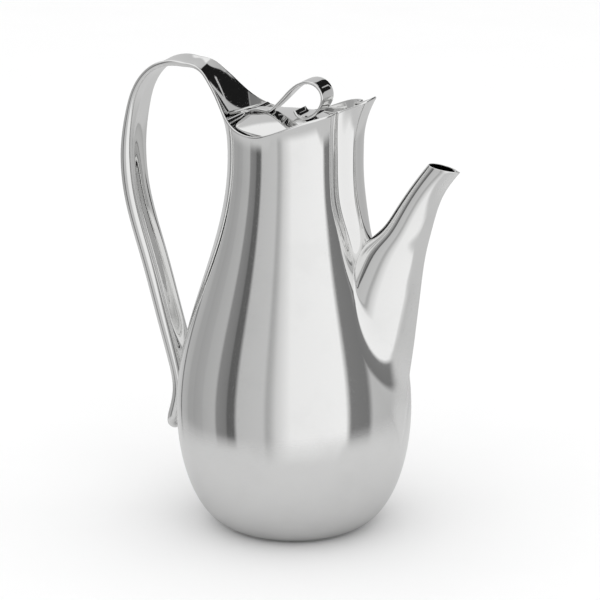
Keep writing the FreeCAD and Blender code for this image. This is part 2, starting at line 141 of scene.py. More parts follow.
# %% Radius of the body
def plain_radius(z):
    z = np.asarray(z, float)
    drop = np.clip((BELLY_HEIGHT - z) / BELLY_HEIGHT, 0, 1)
    low = FOOT_RADIUS + (BELLY_RADIUS - FOOT_RADIUS) * np.sqrt(1 - drop ** 2)
    t = np.clip((z - BELLY_HEIGHT) / (NECK_HEIGHT - BELLY_HEIGHT), 0, 1)
    high = NECK_RADIUS + (BELLY_RADIUS - NECK_RADIUS) * (1 + np.cos(np.pi * t)) / 2
    return np.where(z < BELLY_HEIGHT, low, high)


def body_radius(angle, z):
    """Outside radius at an angle in degrees, 0 towards the spout, and a height."""
    turn = np.abs((np.asarray(angle) + 180) % 360 - 180)
    above = np.asarray(z, float) - NECK_HEIGHT
    front = (1 + np.cos(np.radians(turn))) / 2
    flare = FLARE_AT_BACK + (FLARE_AT_FRONT - FLARE_AT_BACK) * front
    lean = flare * (np.maximum(0, above) / FLARE_HEIGHT) ** FLARE_POWER
    rise = soft_step(above, FLUTE_FOOT, FLUTE_FULL)
    lip = NOSE_LIP * (np.maximum(0, above - NOSE_LIP_START) / NOSE_LIP_LENGTH) ** 2
    rib = (NOSE_RISE * rise + lip) * bell(turn, NOSE_ANGLE, NOSE_SQUARENESS)
    deep = FLUTE_DEPTH * rise + FLUTE_RIM_DEPTH * soft_step(above, 0, FLARE_HEIGHT)
    centre = FLUTE_LOW_ANGLE + (FLUTE_ANGLE - FLUTE_LOW_ANGLE) * soft_step(above, *FLUTE_TURN)
    return plain_radius(z) + lean + rib - deep * bell(turn - centre, FLUTE_WIDTH)


def body_slope(angle, z):
    """Change of the outside radius in each millimetre upwards."""
    rise = body_radius(angle, z + SLOPE_STEP) - body_radius(angle, z - SLOPE_STEP)
    return rise / (2 * SLOPE_STEP)


def wall_radius(angle, z, inset):
    """Radius of a skin that lies a distance inside the outer face, measured square to it."""
    return body_radius(angle, z) - inset * np.sqrt(1 + body_slope(angle, z) ** 2)


def wall_point(angle, z, inset):
    r = wall_radius(angle, z, inset)
    a = np.radians(angle)
    return np.stack([r * np.cos(a), r * np.sin(a), np.broadcast_to(z, r.shape)], axis=-1)


for height in (0.0, BELLY_HEIGHT, NECK_HEIGHT, NECK_HEIGHT + FLARE_HEIGHT):
    print(f"radius at height {height:5.1f}: front {body_radius(0.0, height):5.1f}, "
          f"side {body_radius(90.0, height):5.1f}, back {body_radius(180.0, height):5.1f}")


def crossing(rule, low, high, steps=40):
    """Where a rising rule passes zero, by halving the interval; works on arrays."""
    low = np.array(low, float)
    high = np.array(high, float)
    for _ in range(steps):
        middle = (low + high) / 2
        above = rule(middle) > 0
        high = np.where(above, middle, high)
        low = np.where(above, low, middle)
    return (low + high) / 2


# %% [markdown]
# ## From a grid of points to a Blender mesh
# Every sheet-metal piece here is a grid: one direction runs along the piece and the other goes
# round its section. Numpy makes the points, and one function makes the mesh. The faces are shaded
# smooth, and edges that turn by more than a set angle stay sharp, so that a cut face doesn't spoil
# the reflections beside it.

# %% Mesh helper
SHARP_TURN = math.radians(50)


def grid_faces(rows, columns, close_rows=False, close_columns=False):
    """Quads over a grid whose point number is row * columns + column."""
    i, j = np.meshgrid(np.arange(rows if close_rows else rows - 1),
                       np.arange(columns if close_columns else columns - 1), indexing="ij")
    up = (i + 1) % rows
    right = (j + 1) % columns
    quads = [i * columns + j, i * columns + right, up * columns + right, up * columns + j]
    return np.stack(quads, axis=-1).reshape(-1, 4)


def make_mesh(name, points, faces, weld=0.0):
    """Object from points in millimetres; near points are welded and loose faces dropped."""
    mesh = bpy.data.meshes.new(name)
    mesh.from_pydata((points.reshape(-1, 3) * MM).tolist(), [], [list(f) for f in faces])
    piece = bpy.data.objects.new(name, mesh)
    bpy.context.scene.collection.objects.link(piece)
    finish_mesh(piece, weld)
    return piece


def finish_mesh(piece, weld=0.0):
    """Weld near points, turn the faces outward, shade smooth and print what the mesh holds."""
    work = bmesh.new()
    work.from_mesh(piece.data)
    if weld:
        bmesh.ops.remove_doubles(work, verts=work.verts, dist=weld * MM)
        bmesh.ops.dissolve_degenerate(work, edges=work.edges, dist=weld * MM / 10)
    bmesh.ops.recalc_face_normals(work, faces=work.faces)
    open_edges = sum(1 for edge in work.edges if len(edge.link_faces) != 2)
    work.to_mesh(piece.data)
    work.free()
    piece.data.shade_smooth()
    piece.data.set_sharp_from_angle(angle=SHARP_TURN)
    triangles = sum(len(face.vertices) - 2 for face in piece.data.polygons)
    print(f"{piece.name}: {triangles} triangles, {open_edges} edges without two faces")


# %% [markdown]
# ## The middle line of the handle
# The handle is one strap. It leaves the top of the neck wall, loops over, comes down as the grip,
# touches the belly and ends in a short tail. Its middle line starts with two points on the neck
# wall itself, so that the strap leaves the body in the body's own direction.

# %% Handle line
TONGUE_HEIGHT = 33.9
STRAP_WIDTH = 20.0
STRAP_TOP_THICKNESS = 2.8
STRAP_BACK_THICKNESS = 6.4
STRAP_TIP_THICKNESS = 5.0
STRAP_TIP_LENGTH = 9.0
WELD_BITE = 0.4
LOOP_LINE = [(-50.1, 38.4), (-60.0, 40.2), (-69.7, 37.9), (-79.2, 28.6), (-84.3, 14.0),
             (-86.9, -4.0)]
GRIP_LINE = [(156.0, 50.2), (126.0, 33.5), (96.0, 16.2), (76.0, 6.6)]
STRAP_WELD_HEIGHT = 60.0
TAIL_LINE = [(48.5, 5.4), (38.0, 9.6)]
ACROSS = np.array([0.0, 1.0, 0.0])


class FlatPath:
    """A smooth curve in the XZ plane, measured along its points."""

    def __init__(self, points):
        points = np.array(points, float)
        steps = np.hypot(*np.diff(points, axis=0).T)
        self.marks = np.concatenate([[0.0], np.cumsum(steps)])
        self.x = SmoothCurve(list(zip(self.marks, points[:, 0])))
        self.z = SmoothCurve(list(zip(self.marks, points[:, 1])))

    def place(self, s):
        return np.stack([self.x(s), np.zeros_like(np.asarray(s, float)), self.z(s)], axis=-1)

    def forward(self, s):
        return unit(self.place(np.asarray(s) + 0.05) - self.place(np.asarray(s) - 0.05))


def strap_points():
    weld = NECK_HEIGHT + TONGUE_HEIGHT
    points = [(-float(wall_radius(180.0, z, WALL / 2)), z) for z in (weld - 7.0, weld)]
    points += [(x, NECK_HEIGHT + up) for x, up in LOOP_LINE]
    points += [(-float(plain_radius(z)) - gap, z) for z, gap in GRIP_LINE]
    touch = float(plain_radius(STRAP_WELD_HEIGHT)) + STRAP_BACK_THICKNESS / 2 - WELD_BITE
    points.append((-touch, STRAP_WELD_HEIGHT))
    return points + [(-float(plain_radius(z)) - gap, z) for z, gap in TAIL_LINE]


strap_path = FlatPath(strap_points())
STRAP_START = strap_path.marks[1]
STRAP_END = strap_path.marks[-1]
weld_place = strap_path.place(STRAP_START)
weld_forward = strap_path.forward(STRAP_START)
print(f"handle: {STRAP_END - STRAP_START:.1f} mm of strap, weld at {weld_place.round(2)}")

# %% [markdown]
# ## The rim
# Seen from the side the rim is one flowing line: low beside the hinge, rising to the nose at the
# front, and sweeping up the back into the handle. Its edge is rounded over the full thickness of
# the sheet. The bead follows the middle of the sheet, and where the rim runs into the strap its
# section turns into the plane of the weld, so that the two pieces meet edge to edge.

# %% Rim line and bead
rim_height = SmoothCurve(RIM_LINE)
HALF_WALL = WALL / 2
BEAD_STEPS = 8
RIM_LOW = 190.0
PLANE_TOP = 240.0
BEAD_TURN = 6.0             # degrees before the weld over which the bead's section turns
WELD_LOW = 200.0            # lowest height at which the weld is looked for
OVER_WELD = 2.0             # how far past the weld the rim is looked for
ANGLE_STEP = 0.05           # degrees, for the direction along the rim
NORMAL_STEP = 0.2           # degrees and millimetres, for the sheet's normal
CORNER_SEARCH = (150.0, 172.0)
NOSE_COLUMNS = 54
SIDE_COLUMNS = 66
CORNER_COLUMNS = 16
SIDE_ANGLE = 40.0           # where the columns of the nose end and the wider ones begin
CORNER_RUN = 12.0           # degrees before the corner with close columns


def past_weld(points):
    """Distance past the plane in which the neck's tongue is welded to the strap."""
    return (points - weld_place) @ weld_forward


def weld_height(angle, inset):
    return crossing(lambda z: past_weld(wall_point(angle, z, inset)),
                    np.full(np.shape(angle), WELD_LOW), np.full(np.shape(angle), PLANE_TOP))


def rim_point(angle):
    """Point of the rim on the middle of the sheet, at an angle in degrees."""
    def above_line(z):
        x = wall_radius(angle, z, HALF_WALL) * np.cos(np.radians(angle))
        return z - NECK_HEIGHT - rim_height(x)
    top = weld_height(angle, HALF_WALL) + OVER_WELD
    z = crossing(above_line, np.full(np.shape(angle), RIM_LOW), np.minimum(top, PLANE_TOP))
    return wall_point(angle, z, HALF_WALL)


def rim_frame(angle):
    """Bead centre, the sheet's normal, the direction over the edge and along the rim."""
    angle = np.asarray(angle, float)
    point = rim_point(angle)
    along = unit(rim_point(angle + ANGLE_STEP) - rim_point(angle - ANGLE_STEP))
    turned = wall_point(angle + NORMAL_STEP, point[..., 2], HALF_WALL)
    turned = turned - wall_point(angle - NORMAL_STEP, point[..., 2], HALF_WALL)
    raised = wall_point(angle, point[..., 2] + NORMAL_STEP, HALF_WALL)
    raised = raised - wall_point(angle, point[..., 2] - NORMAL_STEP, HALF_WALL)
    normal = unit(np.cross(turned, raised))
    along = unit(along - normal * np.sum(along * normal, axis=-1, keepdims=True))
    over = np.cross(normal, along)
    return point - HALF_WALL * over, normal, over, along


CORNER = float(crossing(lambda a: past_weld(rim_frame(a)[0]), *CORNER_SEARCH))
front_angles = np.concatenate([np.linspace(0, SIDE_ANGLE, NOSE_COLUMNS)[:-1],
                               np.linspace(SIDE_ANGLE, CORNER - CORNER_RUN, SIDE_COLUMNS)[:-1],
                               np.linspace(CORNER - CORNER_RUN, CORNER, CORNER_COLUMNS)])
centre, normal, over, along = rim_frame(front_angles)
slant = soft_step(front_angles, CORNER - BEAD_TURN, CORNER)[:, None]
into_plane = along * slant / np.where(slant > 0, (along @ weld_forward)[:, None], 1.0)
normal_cut = normal - into_plane * (normal @ weld_forward)[:, None]
over_cut = over - into_plane * (over @ weld_forward)[:, None]
bead_turns = np.linspace(-np.pi / 2, np.pi / 2, BEAD_STEPS + 1)
bead = np.stack([centre - HALF_WALL * (normal_cut * math.sin(t) - over_cut * math.cos(t))
                 for t in bead_turns])
ROOT_HALF = float(bead[BEAD_STEPS // 2, -1, 1])
ROOT_SLOPE = float(along[-1, 1] / (along[-1] @ weld_forward))
print(f"rim meets the strap at {CORNER:.1f} degrees, {2 * ROOT_HALF:.1f} mm wide, "
      f"narrowing {-2 * ROOT_SLOPE:.2f} mm in each mm")

# %% [markdown]
# ## The body shell
# The real body is spun from a sheet, then its neck is stretched and trimmed. Each column of the
# grid goes once round the wall: across the foot ring, up the outside, over the rim and down the
# inside. The columns stand closer together on the nose and at the tongue, where the shape turns
# fastest.

# %% Body shell
LOW_TURNS = np.linspace(0, np.pi / 2, 34)
BODY_HEIGHTS = np.linspace(BELLY_HEIGHT, NECK_HEIGHT, 86)[1:]
TOP_SHARES = np.concatenate([np.linspace(0, 0.985, 30)[1:], [1.0]])
INSIDE_LOW_TURNS = np.linspace(0, np.pi / 2, 14)
INSIDE_HEIGHTS = np.linspace(BELLY_HEIGHT, NECK_HEIGHT, 34)[1:]
INSIDE_SHARES = np.concatenate([np.linspace(0, 0.97, 12)[1:], [1.0]])
TONGUE_COLUMNS = 13


def low_wall(turns, inset):
    """Radius and height on the quarter ellipse between foot and belly."""
    wide = BELLY_RADIUS - FOOT_RADIUS
    out = np.sin(turns) / wide
    down = np.cos(turns) / BELLY_HEIGHT
    scale = inset / np.hypot(out, down)
    return (FOOT_RADIUS + wide * np.sin(turns) - out * scale,
            BELLY_HEIGHT * (1 - np.cos(turns)) + down * scale)


def wall_column(angle, top_angle, top_z, inset, low_turns, heights, shares):
    """Points up one column of the wall, from the foot to a top that may stand a little aside."""
    r, z = low_wall(low_turns, inset)
    a = math.radians(angle)
    low = np.stack([r * math.cos(a), r * math.sin(a), z], axis=-1)
    z = np.concatenate([heights, NECK_HEIGHT + (top_z - NECK_HEIGHT) * shares])
    turned = angle + (top_angle - angle) * soft_step(z, NECK_HEIGHT, top_z)
    return np.concatenate([low, wall_point(turned, z, inset)])


def half_body():
    """Columns from the spout side round to the handle side, half way round the pot."""
    tops = {}
    for inset, row in ((0.0, bead[0]), (WALL, bead[-1])):
        angle = np.degrees(np.arctan2(row[:, 1], row[:, 0]))
        tongue = np.linspace(angle[-1], 180.0, TONGUE_COLUMNS)[1:]
        tops[inset] = (np.concatenate([angle, tongue]),
                       np.concatenate([row[:, 2], weld_height(tongue, inset)]))
    angles = np.concatenate([front_angles, np.linspace(CORNER, 180.0, TONGUE_COLUMNS)[1:]])
    columns = []
    for j, angle in enumerate(angles):
        outside = wall_column(angle, tops[0.0][0][j], tops[0.0][1][j], 0.0,
                              LOW_TURNS, BODY_HEIGHTS, TOP_SHARES)
        inside = wall_column(angle, tops[WALL][0][j], tops[WALL][1][j], WALL,
                             INSIDE_LOW_TURNS, INSIDE_HEIGHTS, INSIDE_SHARES)
        if j < len(front_angles):
            edge = bead[1:-1, j]
        else:
            share = (np.arange(1, BEAD_STEPS) / BEAD_STEPS)[:, None]
            edge = outside[-1] * (1 - share) + inside[-1] * share
        a = math.radians(angle)
        ring = FOOT_RADIUS - FOOT_RING_WIDTH
        lip = np.array([[ring * math.cos(a), ring * math.sin(a), z] for z in (WALL, 0.0)])
        columns.append(np.concatenate([lip, outside, edge, inside[::-1]]))
    return np.array(columns)


ACROSS_MIRROR = np.array([1.0, -1.0, 1.0])
half_columns = half_body()
body_grid = np.concatenate([half_columns, half_columns[::-1][1:-1] * ACROSS_MIRROR])
body_faces = grid_faces(*body_grid.shape[:2], close_rows=True, close_columns=True)
body = make_mesh("body", body_grid, body_faces)

# %% [markdown]
# ## The handle strap
# A strap like this is forged or cut from plate, bent, and dressed round at its edges. Its section
# is swept along the middle line. At the root it takes over the curve of the neck wall exactly,
# then fades to its own dished section within a few millimetres, and that is why no weld shows.

# %% Handle strap
ROOT_FADE = 15.0
ROOT_LENGTH = 24.0
FACE_STEPS = 30
EDGE_STEPS = 10
STRAP_STEP = 0.9
TIP_RINGS = 16
WALL_SEARCH = (-6.0, 14.0)  # how far from the middle line the neck wall is looked for
# The pairs are shares of the strap's length: where a change begins and ends
TOP_SWELL = (0.0, 0.1)
BACK_SWELL = (0.12, 0.42)
ROOT_DISH_END = (0.0, 0.2)
BELLY_DISH_RISE = (0.4, 0.85)
HOLLOW_START = (0.14, 0.34)
HOLLOW_END = (0.74, 0.86)
HOLLOW_DEPTH = 0.56         # share of the thickness
HOLLOW_SOFTNESS = 0.10
HOLLOW_POWER = 1.4
TIP_POWER = 2.4
TIP_SLIMMING = 0.75         # share of the thickness lost at the tip, and where that begins


def strap_size(s):
    """Half-width, thickness and dish at a distance along the strap."""
    t = (s - STRAP_START) / (STRAP_END - STRAP_START)
    near = min(1.0, (s - STRAP_START) / ROOT_LENGTH)
    ease = 2 * near ** 3 - 3 * near ** 2 + 1
    lead = near ** 3 - 2 * near ** 2 + near
    half = STRAP_WIDTH / 2
    half_width = ROOT_HALF * ease + half * (1 - ease) + ROOT_SLOPE * ROOT_LENGTH * lead
    tip = max(0.0, (s - (STRAP_END - STRAP_TIP_LENGTH)) / STRAP_TIP_LENGTH)
    half_width *= math.sqrt(max(0.0, 1 - tip ** TIP_POWER))
    thick = WALL + (STRAP_TOP_THICKNESS - WALL) * soft_step(t, *TOP_SWELL)
    thick += (STRAP_BACK_THICKNESS - STRAP_TOP_THICKNESS) * soft_step(t, *BACK_SWELL)
    thick += (STRAP_TIP_THICKNESS - STRAP_BACK_THICKNESS) * tip
    thick *= 1 - TIP_SLIMMING * soft_step(tip, TIP_SLIMMING, 1.0)
    neck_dish = ROOT_HALF ** 2 / (2 * float(body_radius(180.0, NECK_HEIGHT + TONGUE_HEIGHT)))
    belly_dish = half ** 2 / (2 * BELLY_RADIUS)
    dish = neck_dish * (1 - soft_step(t, *ROOT_DISH_END))
    dish = dish - belly_dish * soft_step(t, *BELLY_DISH_RISE)
    return half_width, float(thick), float(dish)


def hollow(s, share):
    """Depth of the channel along the side that faces the body, as a share of the thickness."""
    t = (s - STRAP_START) / (STRAP_END - STRAP_START)
    deep = soft_step(t, *HOLLOW_START) * (1 - soft_step(t, *HOLLOW_END))
    fold = np.sqrt(share ** 2 + HOLLOW_SOFTNESS ** 2)
    return HOLLOW_DEPTH * deep * np.clip(1 + HOLLOW_SOFTNESS - fold, 0, 1) ** HOLLOW_POWER


def strap_ring(s):
    """Closed section: the face that continues the neck's inside, then edge, face, edge."""
    start = strap_path.place(s)
    forward = strap_path.forward(s)
    out = np.array([forward[2], 0.0, -forward[0]])
    half_width, thick, dish = strap_size(s)
    half_thick = min(thick / 2, half_width * 0.98)
    flat = half_width - half_thick
    y = flat * np.linspace(-1, 1, FACE_STEPS + 1)
    bend = dish * (y / max(half_width, 1.0)) ** 2
    fade = float(soft_step(s, STRAP_START, STRAP_START + ROOT_FADE))
    if fade < 1:
        def inside_wall(lift):
            point = start + y[:, None] * ACROSS + lift[:, None] * out
            angle = np.degrees(np.arctan2(point[:, 1], point[:, 0]))
            reach = np.hypot(point[:, 0], point[:, 1])
            return wall_radius(angle, point[:, 2], HALF_WALL) - reach
        wall = crossing(inside_wall, *[np.full(y.shape, end) for end in WALL_SEARCH])
        bend = wall * (1 - fade) + bend * fade
    slope = np.gradient(bend, y) if flat > 0.01 else np.zeros_like(y)
    normal_y = -slope / np.sqrt(1 + slope ** 2)
    normal_out = 1 / np.sqrt(1 + slope ** 2)
    outline = [(a + half_thick * b, c + half_thick * d)
               for a, b, c, d in zip(y, normal_y, bend, normal_out)]
    for side in (1, -1):
        k = -1 if side > 0 else 0
        for step in range(1, EDGE_STEPS):
            turn = math.pi * step / EDGE_STEPS
            up = side * math.cos(turn)
            outward = side * math.sin(turn)
            outline.append((y[k] + half_thick * (normal_y[k] * up + normal_out[k] * outward),
                            bend[k] + half_thick * (normal_out[k] * up - normal_y[k] * outward)))
        if side > 0:
            behind = half_thick - thick * hollow(s, y / max(flat, 0.01))
            outline += [(a - depth * b, c - depth * d)
                        for a, b, c, d, depth in zip(y[::-1], normal_y[::-1], bend[::-1],
                                                     normal_out[::-1], behind[::-1])]
    outline = np.array(outline)
    return start + outline[:, :1] * ACROSS + outline[:, 1:] * out


strap_stations = np.concatenate([
    [STRAP_START, STRAP_START + 0.12],
    np.arange(STRAP_START + 0.6, STRAP_END - STRAP_TIP_LENGTH, STRAP_STEP),
    STRAP_END - STRAP_TIP_LENGTH * (1 - np.sin(np.linspace(0, np.pi / 2, TIP_RINGS)))])
strap_stations[-1] -= 0.01
strap_grid = np.array([strap_ring(s) for s in strap_stations])
strap_rows, strap_columns = strap_grid.shape[:2]
strap_faces = grid_faces(strap_rows, strap_columns, close_columns=True).tolist()
strap_faces += [list(range(strap_columns)),
                list(range((strap_rows - 1) * strap_columns, strap_rows * strap_columns))]
strap = make_mesh("handle", strap_grid, strap_faces, weld=0.004)

# %% [markdown]
# ## The spout
# The real spout is two pressed halves welded into a tapering tube, then welded to the body and
# blended with a grinding belt. Its sections lie in nearly level planes that tip over towards the
# mouth. In each plane rays from the middle of the egg-shaped section find the outer skin of spout
# and body together. Near the crotch that skin keeps a crisp weld line; lower down the two metals
# run together, so a soft minimum of the two distances is used, with a blend that widens downwards.

# %% Spout sections
SPOUT_LEVELS = [(46.0, -1.0, 3.5), (62.0, 1.7, 10.0), (78.0, 4.5, 14.2), (95.0, 10.2, 17.2),
                (108.0, 15.4, 18.0), (121.0, 21.0, 17.2), (135.0, 27.0, 15.0),
                (146.0, 32.0, 12.4), (156.0, 36.8, 9.9), (166.0, 41.3, 7.7), (176.3, 46.9, 5.8)]
SPOUT_MOUTH = (185.6, 54.0, 4.4)
SPOUT_MOUTH_RISE = 2.7
SPOUT_CROTCH_HEIGHT = 147.5
SPOUT_BACK = [(-101.0, -14.0), (-60.0, -21.0), (-26.0, -18.0), (-11.0, -8.5), (0.0, -0.3),
              (6.0, 7.2), (16.2, 16.4), (26.6, 24.2), (40.8, 35.0)]
SPOUT_SHOULDER = 0.36
SPOUT_FRONT_TAPER = 1.5
BLEND_END = 0.98            # share of the blend's width at which the spout's skin ends
# How widely spout and body run together: height, and width of the blend
SPOUT_BLEND = SmoothCurve([(40.0, 1.0), (60.0, 2.6), (80.0, 5.0), (100.0, 5.5), (116.0, 3.2),
                           (128.0, 0.9), (136.0, 0.4), (200.0, 0.4)])

spout_rows = np.array(SPOUT_LEVELS + [SPOUT_MOUTH])
spout_reach = SmoothCurve(spout_rows[:, [0, 1]])
spout_half_width = SmoothCurve(spout_rows[:, [0, 2]])
spout_back_line = SmoothCurve(SPOUT_BACK)
SPOUT_FOOT = SPOUT_LEVELS[0][0]


def spout_plane(level):
    """Back point, unit vector to the front, length and half-width of the section at a level."""
    level = np.asarray(level, float)
    share = (level - SPOUT_FOOT) / (SPOUT_MOUTH[0] - SPOUT_FOOT)
    back_z = level + SPOUT_MOUTH_RISE * share ** 2
    back_x = body_radius(0.0, back_z) + spout_back_line(back_z - SPOUT_CROTCH_HEIGHT)
    nothing = np.zeros_like(level)
    back = np.stack([back_x, nothing, back_z], axis=-1)
    front = np.stack([plain_radius(level) + spout_reach(level), nothing, level], axis=-1)
    span = front - back
    return back, unit(span), np.linalg.norm(span, axis=-1), spout_half_width(level)


def egg_distance(u, y, length, wide):
    """Distance outside an egg section; u runs from its widest place to the front."""
    side = np.maximum(np.abs(y) / wide, 1e-6)
    ahead = u / ((1 - SPOUT_SHOULDER) * length)
    power = 2 / SPOUT_FRONT_TAPER
    front = ahead ** 2 + side ** power - 1
    front_slope = np.hypot(2 * ahead / ((1 - SPOUT_SHOULDER) * length),
                           power * side ** (power - 1) / wide)
    behind = u / (SPOUT_SHOULDER * length)
    size = np.maximum(np.hypot(behind, side), 1e-6)
    back_slope = np.hypot(behind / (SPOUT_SHOULDER * length), side / wide) / size
    return np.where(u > 0, front / front_slope, (size - 1) / back_slope)


def body_distance(points):
    """Distance outside the body, negative inside it."""
    angle = np.degrees(np.arctan2(points[..., 1], points[..., 0]))
    z = points[..., 2]
    reach = np.hypot(points[..., 0], points[..., 1])
    return (reach - body_radius(angle, z)) / np.hypot(1, body_slope(angle, z))


LIP_THINS = (172.0, 185.0)
LIP_THINNING = 0.5
RAY_LENGTH = 48.0
RAY_MARKS = 60
TURN_MARKS = 61
TURN_BACK = 1e-5            # radians kept short of the junction, so that a ray ends on the spout


class SpoutSkin:
    """Rays from the widest place of each level's section to the skin of spout and body."""

    def __init__(self, inset):
        self.inset = inset

    def depth(self, level):
        """How far this skin lies inside the outer one; the wall thins towards the mouth."""
        return self.inset * (1 - LIP_THINNING * soft_step(level, *LIP_THINS))

    def point(self, level, turn, reach):
        back, along, length = spout_plane(level)[:3]
        middle = back + along * (SPOUT_SHOULDER * length)[..., None]
        ahead = (reach * np.cos(turn))[..., None] * along
        return middle + ahead + (reach * np.sin(turn))[..., None] * ACROSS

    def gaps(self, level, turn, reach):
        """Distances outside the spout and outside the body."""
        length, wide = spout_plane(level)[2:]
        depth = self.depth(level)
        egg = egg_distance(reach * np.cos(turn), reach * np.sin(turn), length - 2 * depth,
                           wide - depth)
        return egg, body_distance(self.point(level, turn, reach))

    def outside(self, level, turn, reach):
        egg, body_gap = self.gaps(level, turn, reach)
        if self.inset:
            return egg
        width = SPOUT_BLEND(level)
        near = np.maximum(width - np.abs(egg - body_gap), 0)
        return np.minimum(egg, body_gap) - near ** 2 / (4 * width)

    def reach(self, level, turn):
        """Length of the ray to the first place outside; not a number where it finds none."""
        level, turn = np.broadcast_arrays(level, turn)
        marks = np.linspace(0.2, RAY_LENGTH, RAY_MARKS)
        values = self.outside(level[..., None], turn[..., None], marks)
        out = values > 0
        first = np.argmax(out, axis=-1)
        found = out.any(axis=-1)
        high = marks[first]
        low = marks[np.maximum(first - 1, 0)]
        result = crossing(lambda r: self.outside(level, turn, r), low, high, 30)
        return np.where(found, result, np.nan)

    def past_end(self, level, turn):
        """Positive where the ray meets the body beyond the edge of the spout."""
        reach = self.reach(level, turn)
        egg, body_gap = self.gaps(level, turn, np.nan_to_num(reach, nan=RAY_LENGTH))
        past = -body_gap if self.inset else egg - body_gap - BLEND_END * SPOUT_BLEND(level)
        return np.where(np.isnan(reach), 1.0, past)

    def end_turn(self, level):
        """Angle from the front at which the section ends on the body, or half a turn."""
        turns = np.linspace(0, np.pi, TURN_MARKS)
        past = self.past_end(level[:, None], turns[None, :]) > 0
        first = np.argmax(past, axis=1)
        high = np.where(past.any(axis=1), turns[first], np.pi)
        low = np.where(past.any(axis=1), turns[np.maximum(first - 1, 0)], np.pi)
        return crossing(lambda a: self.past_end(level, a), low, high, 20) - TURN_BACK

    def first_level(self):
        """Lowest level at which the spout shows outside the body."""
        return float(crossing(lambda z: -self.past_end(z, np.zeros_like(z)),
                              np.array([40.0]), np.array([80.0]))[0])


# %% [markdown]
# The rows stand closer together near the foot, near the crotch, where the open section closes
# into a tube, and at the mouth.

# %% Spout mesh
SPOUT_COLUMNS = 46
LIP_STEPS = 8
HALF_TURN_LIMIT = math.radians(179.6)
START_MARGIN = 0.02
ROWS_BELOW = 66             # rows from the foot to the crotch
ROWS_ABOVE = 52             # and from the crotch to the mouth, which share a row with them
COLUMN_CROWDING = 0.10      # how much closer the columns stand towards the back
ROW_CROWDING_AT_CROTCH = 1.7
ROW_CROWDING_AT_FOOT = (0.35, 9.0)
ROW_CROWDING_ABOVE = 1.25


def spout_half(skin, levels, crotch_row):
    """Points of one half: rows up the spout, columns from the front to the back or the body."""
    ends = skin.end_turn(levels)
    ends[crotch_row:] = np.pi
    ends[:crotch_row] = np.minimum(ends[:crotch_row], HALF_TURN_LIMIT)
    shares = np.linspace(0, 1, SPOUT_COLUMNS)
    shares = shares + COLUMN_CROWDING * np.sin(np.pi * shares) * shares
    turns = ends[:, None] * shares[None, :]
    reach = skin.reach(np.broadcast_to(levels[:, None], turns.shape), turns)
    good = np.where(np.isnan(reach), 0, np.arange(SPOUT_COLUMNS))
    last_good = np.maximum.accumulate(good, axis=1)
    reach = np.take_along_axis(reach, last_good, axis=1)
    return skin.point(np.broadcast_to(levels[:, None], turns.shape), turns, reach)


outer_skin = SpoutSkin(0.0)
inner_skin = SpoutSkin(WALL)
crotch_levels = np.linspace(145.0, 149.0, 81)
closed = outer_skin.end_turn(crotch_levels) > HALF_TURN_LIMIT
CROTCH_LEVEL = float(crotch_levels[np.argmax(closed)])
SPOUT_START = outer_skin.first_level() + START_MARGIN
INNER_START = inner_skin.first_level() + START_MARGIN
print(f"spout shows from level {SPOUT_START:.1f}, its crotch is at level {CROTCH_LEVEL:.1f}")

below = 1 - (1 - np.linspace(0, 1, ROWS_BELOW)) ** ROW_CROWDING_AT_CROTCH
below = below * (1 - ROW_CROWDING_AT_FOOT[0] * np.exp(-below * ROW_CROWDING_AT_FOOT[1]))
below = (below - below[0]) / (below[-1] - below[0])
above = np.linspace(0, 1, ROWS_ABOVE)[1:] ** ROW_CROWDING_ABOVE
outer_levels = np.concatenate([SPOUT_START + (CROTCH_LEVEL - SPOUT_START) * below,
                               CROTCH_LEVEL + (SPOUT_MOUTH[0] - HALF_WALL - CROTCH_LEVEL) * above])
inner_levels = outer_levels.copy()
inner_levels[:ROWS_BELOW] = INNER_START + (CROTCH_LEVEL - INNER_START) * below
crotch_row = ROWS_BELOW - 1
outer_half = spout_half(outer_skin, outer_levels, crotch_row)
inner_half = spout_half(inner_skin, inner_levels, crotch_row)


def spout_lip():
    """Half-round bead between the outer and inner face at the mouth."""
    rise = unit(outer_half[-1] - outer_half[-2])
    middle = (outer_half[-1] + inner_half[-1]) / 2
    side = (outer_half[-1] - inner_half[-1]) / 2
    size = np.linalg.norm(side, axis=-1, keepdims=True)
    turns = np.linspace(0, np.pi, LIP_STEPS + 1)[1:-1]
    return [middle + side * math.cos(t) + rise * size * math.sin(t) for t in turns]


half = np.concatenate([outer_half, spout_lip(), inner_half[::-1]])
mirrored = half[:, ::-1] * ACROSS_MIRROR
spout_grid = np.concatenate([mirrored, half[:, 1:]], axis=1)
spout_rows_count, spout_columns = spout_grid.shape[:2]
spout_faces = grid_faces(spout_rows_count, spout_columns).tolist()
last_row = spout_rows_count - 1
for row in range(crotch_row):
    for column, turned in ((0, False), (spout_columns - 1, True)):
        edge = [row * spout_columns + column, (row + 1) * spout_columns + column,
                (last_row - row - 1) * spout_columns + column,
                (last_row - row) * spout_columns + column]
        spout_faces.append(edge[::-1] if turned else edge)
spout_faces += [[c, c + 1, last_row * spout_columns + c + 1, last_row * spout_columns + c]
                for c in range(spout_columns - 1)]
spout = make_mesh("spout", spout_grid, spout_faces, weld=0.004)

# %% [markdown]
# ## The lid
# The lid is a shallow pressed dome with a short skirt, cut straight at the back to clear the
# hinge. It is drawn as rays from the crown: over the ball-shaped top, round a rolled edge, down
# the skirt and back under the dome, so that every column is closed.

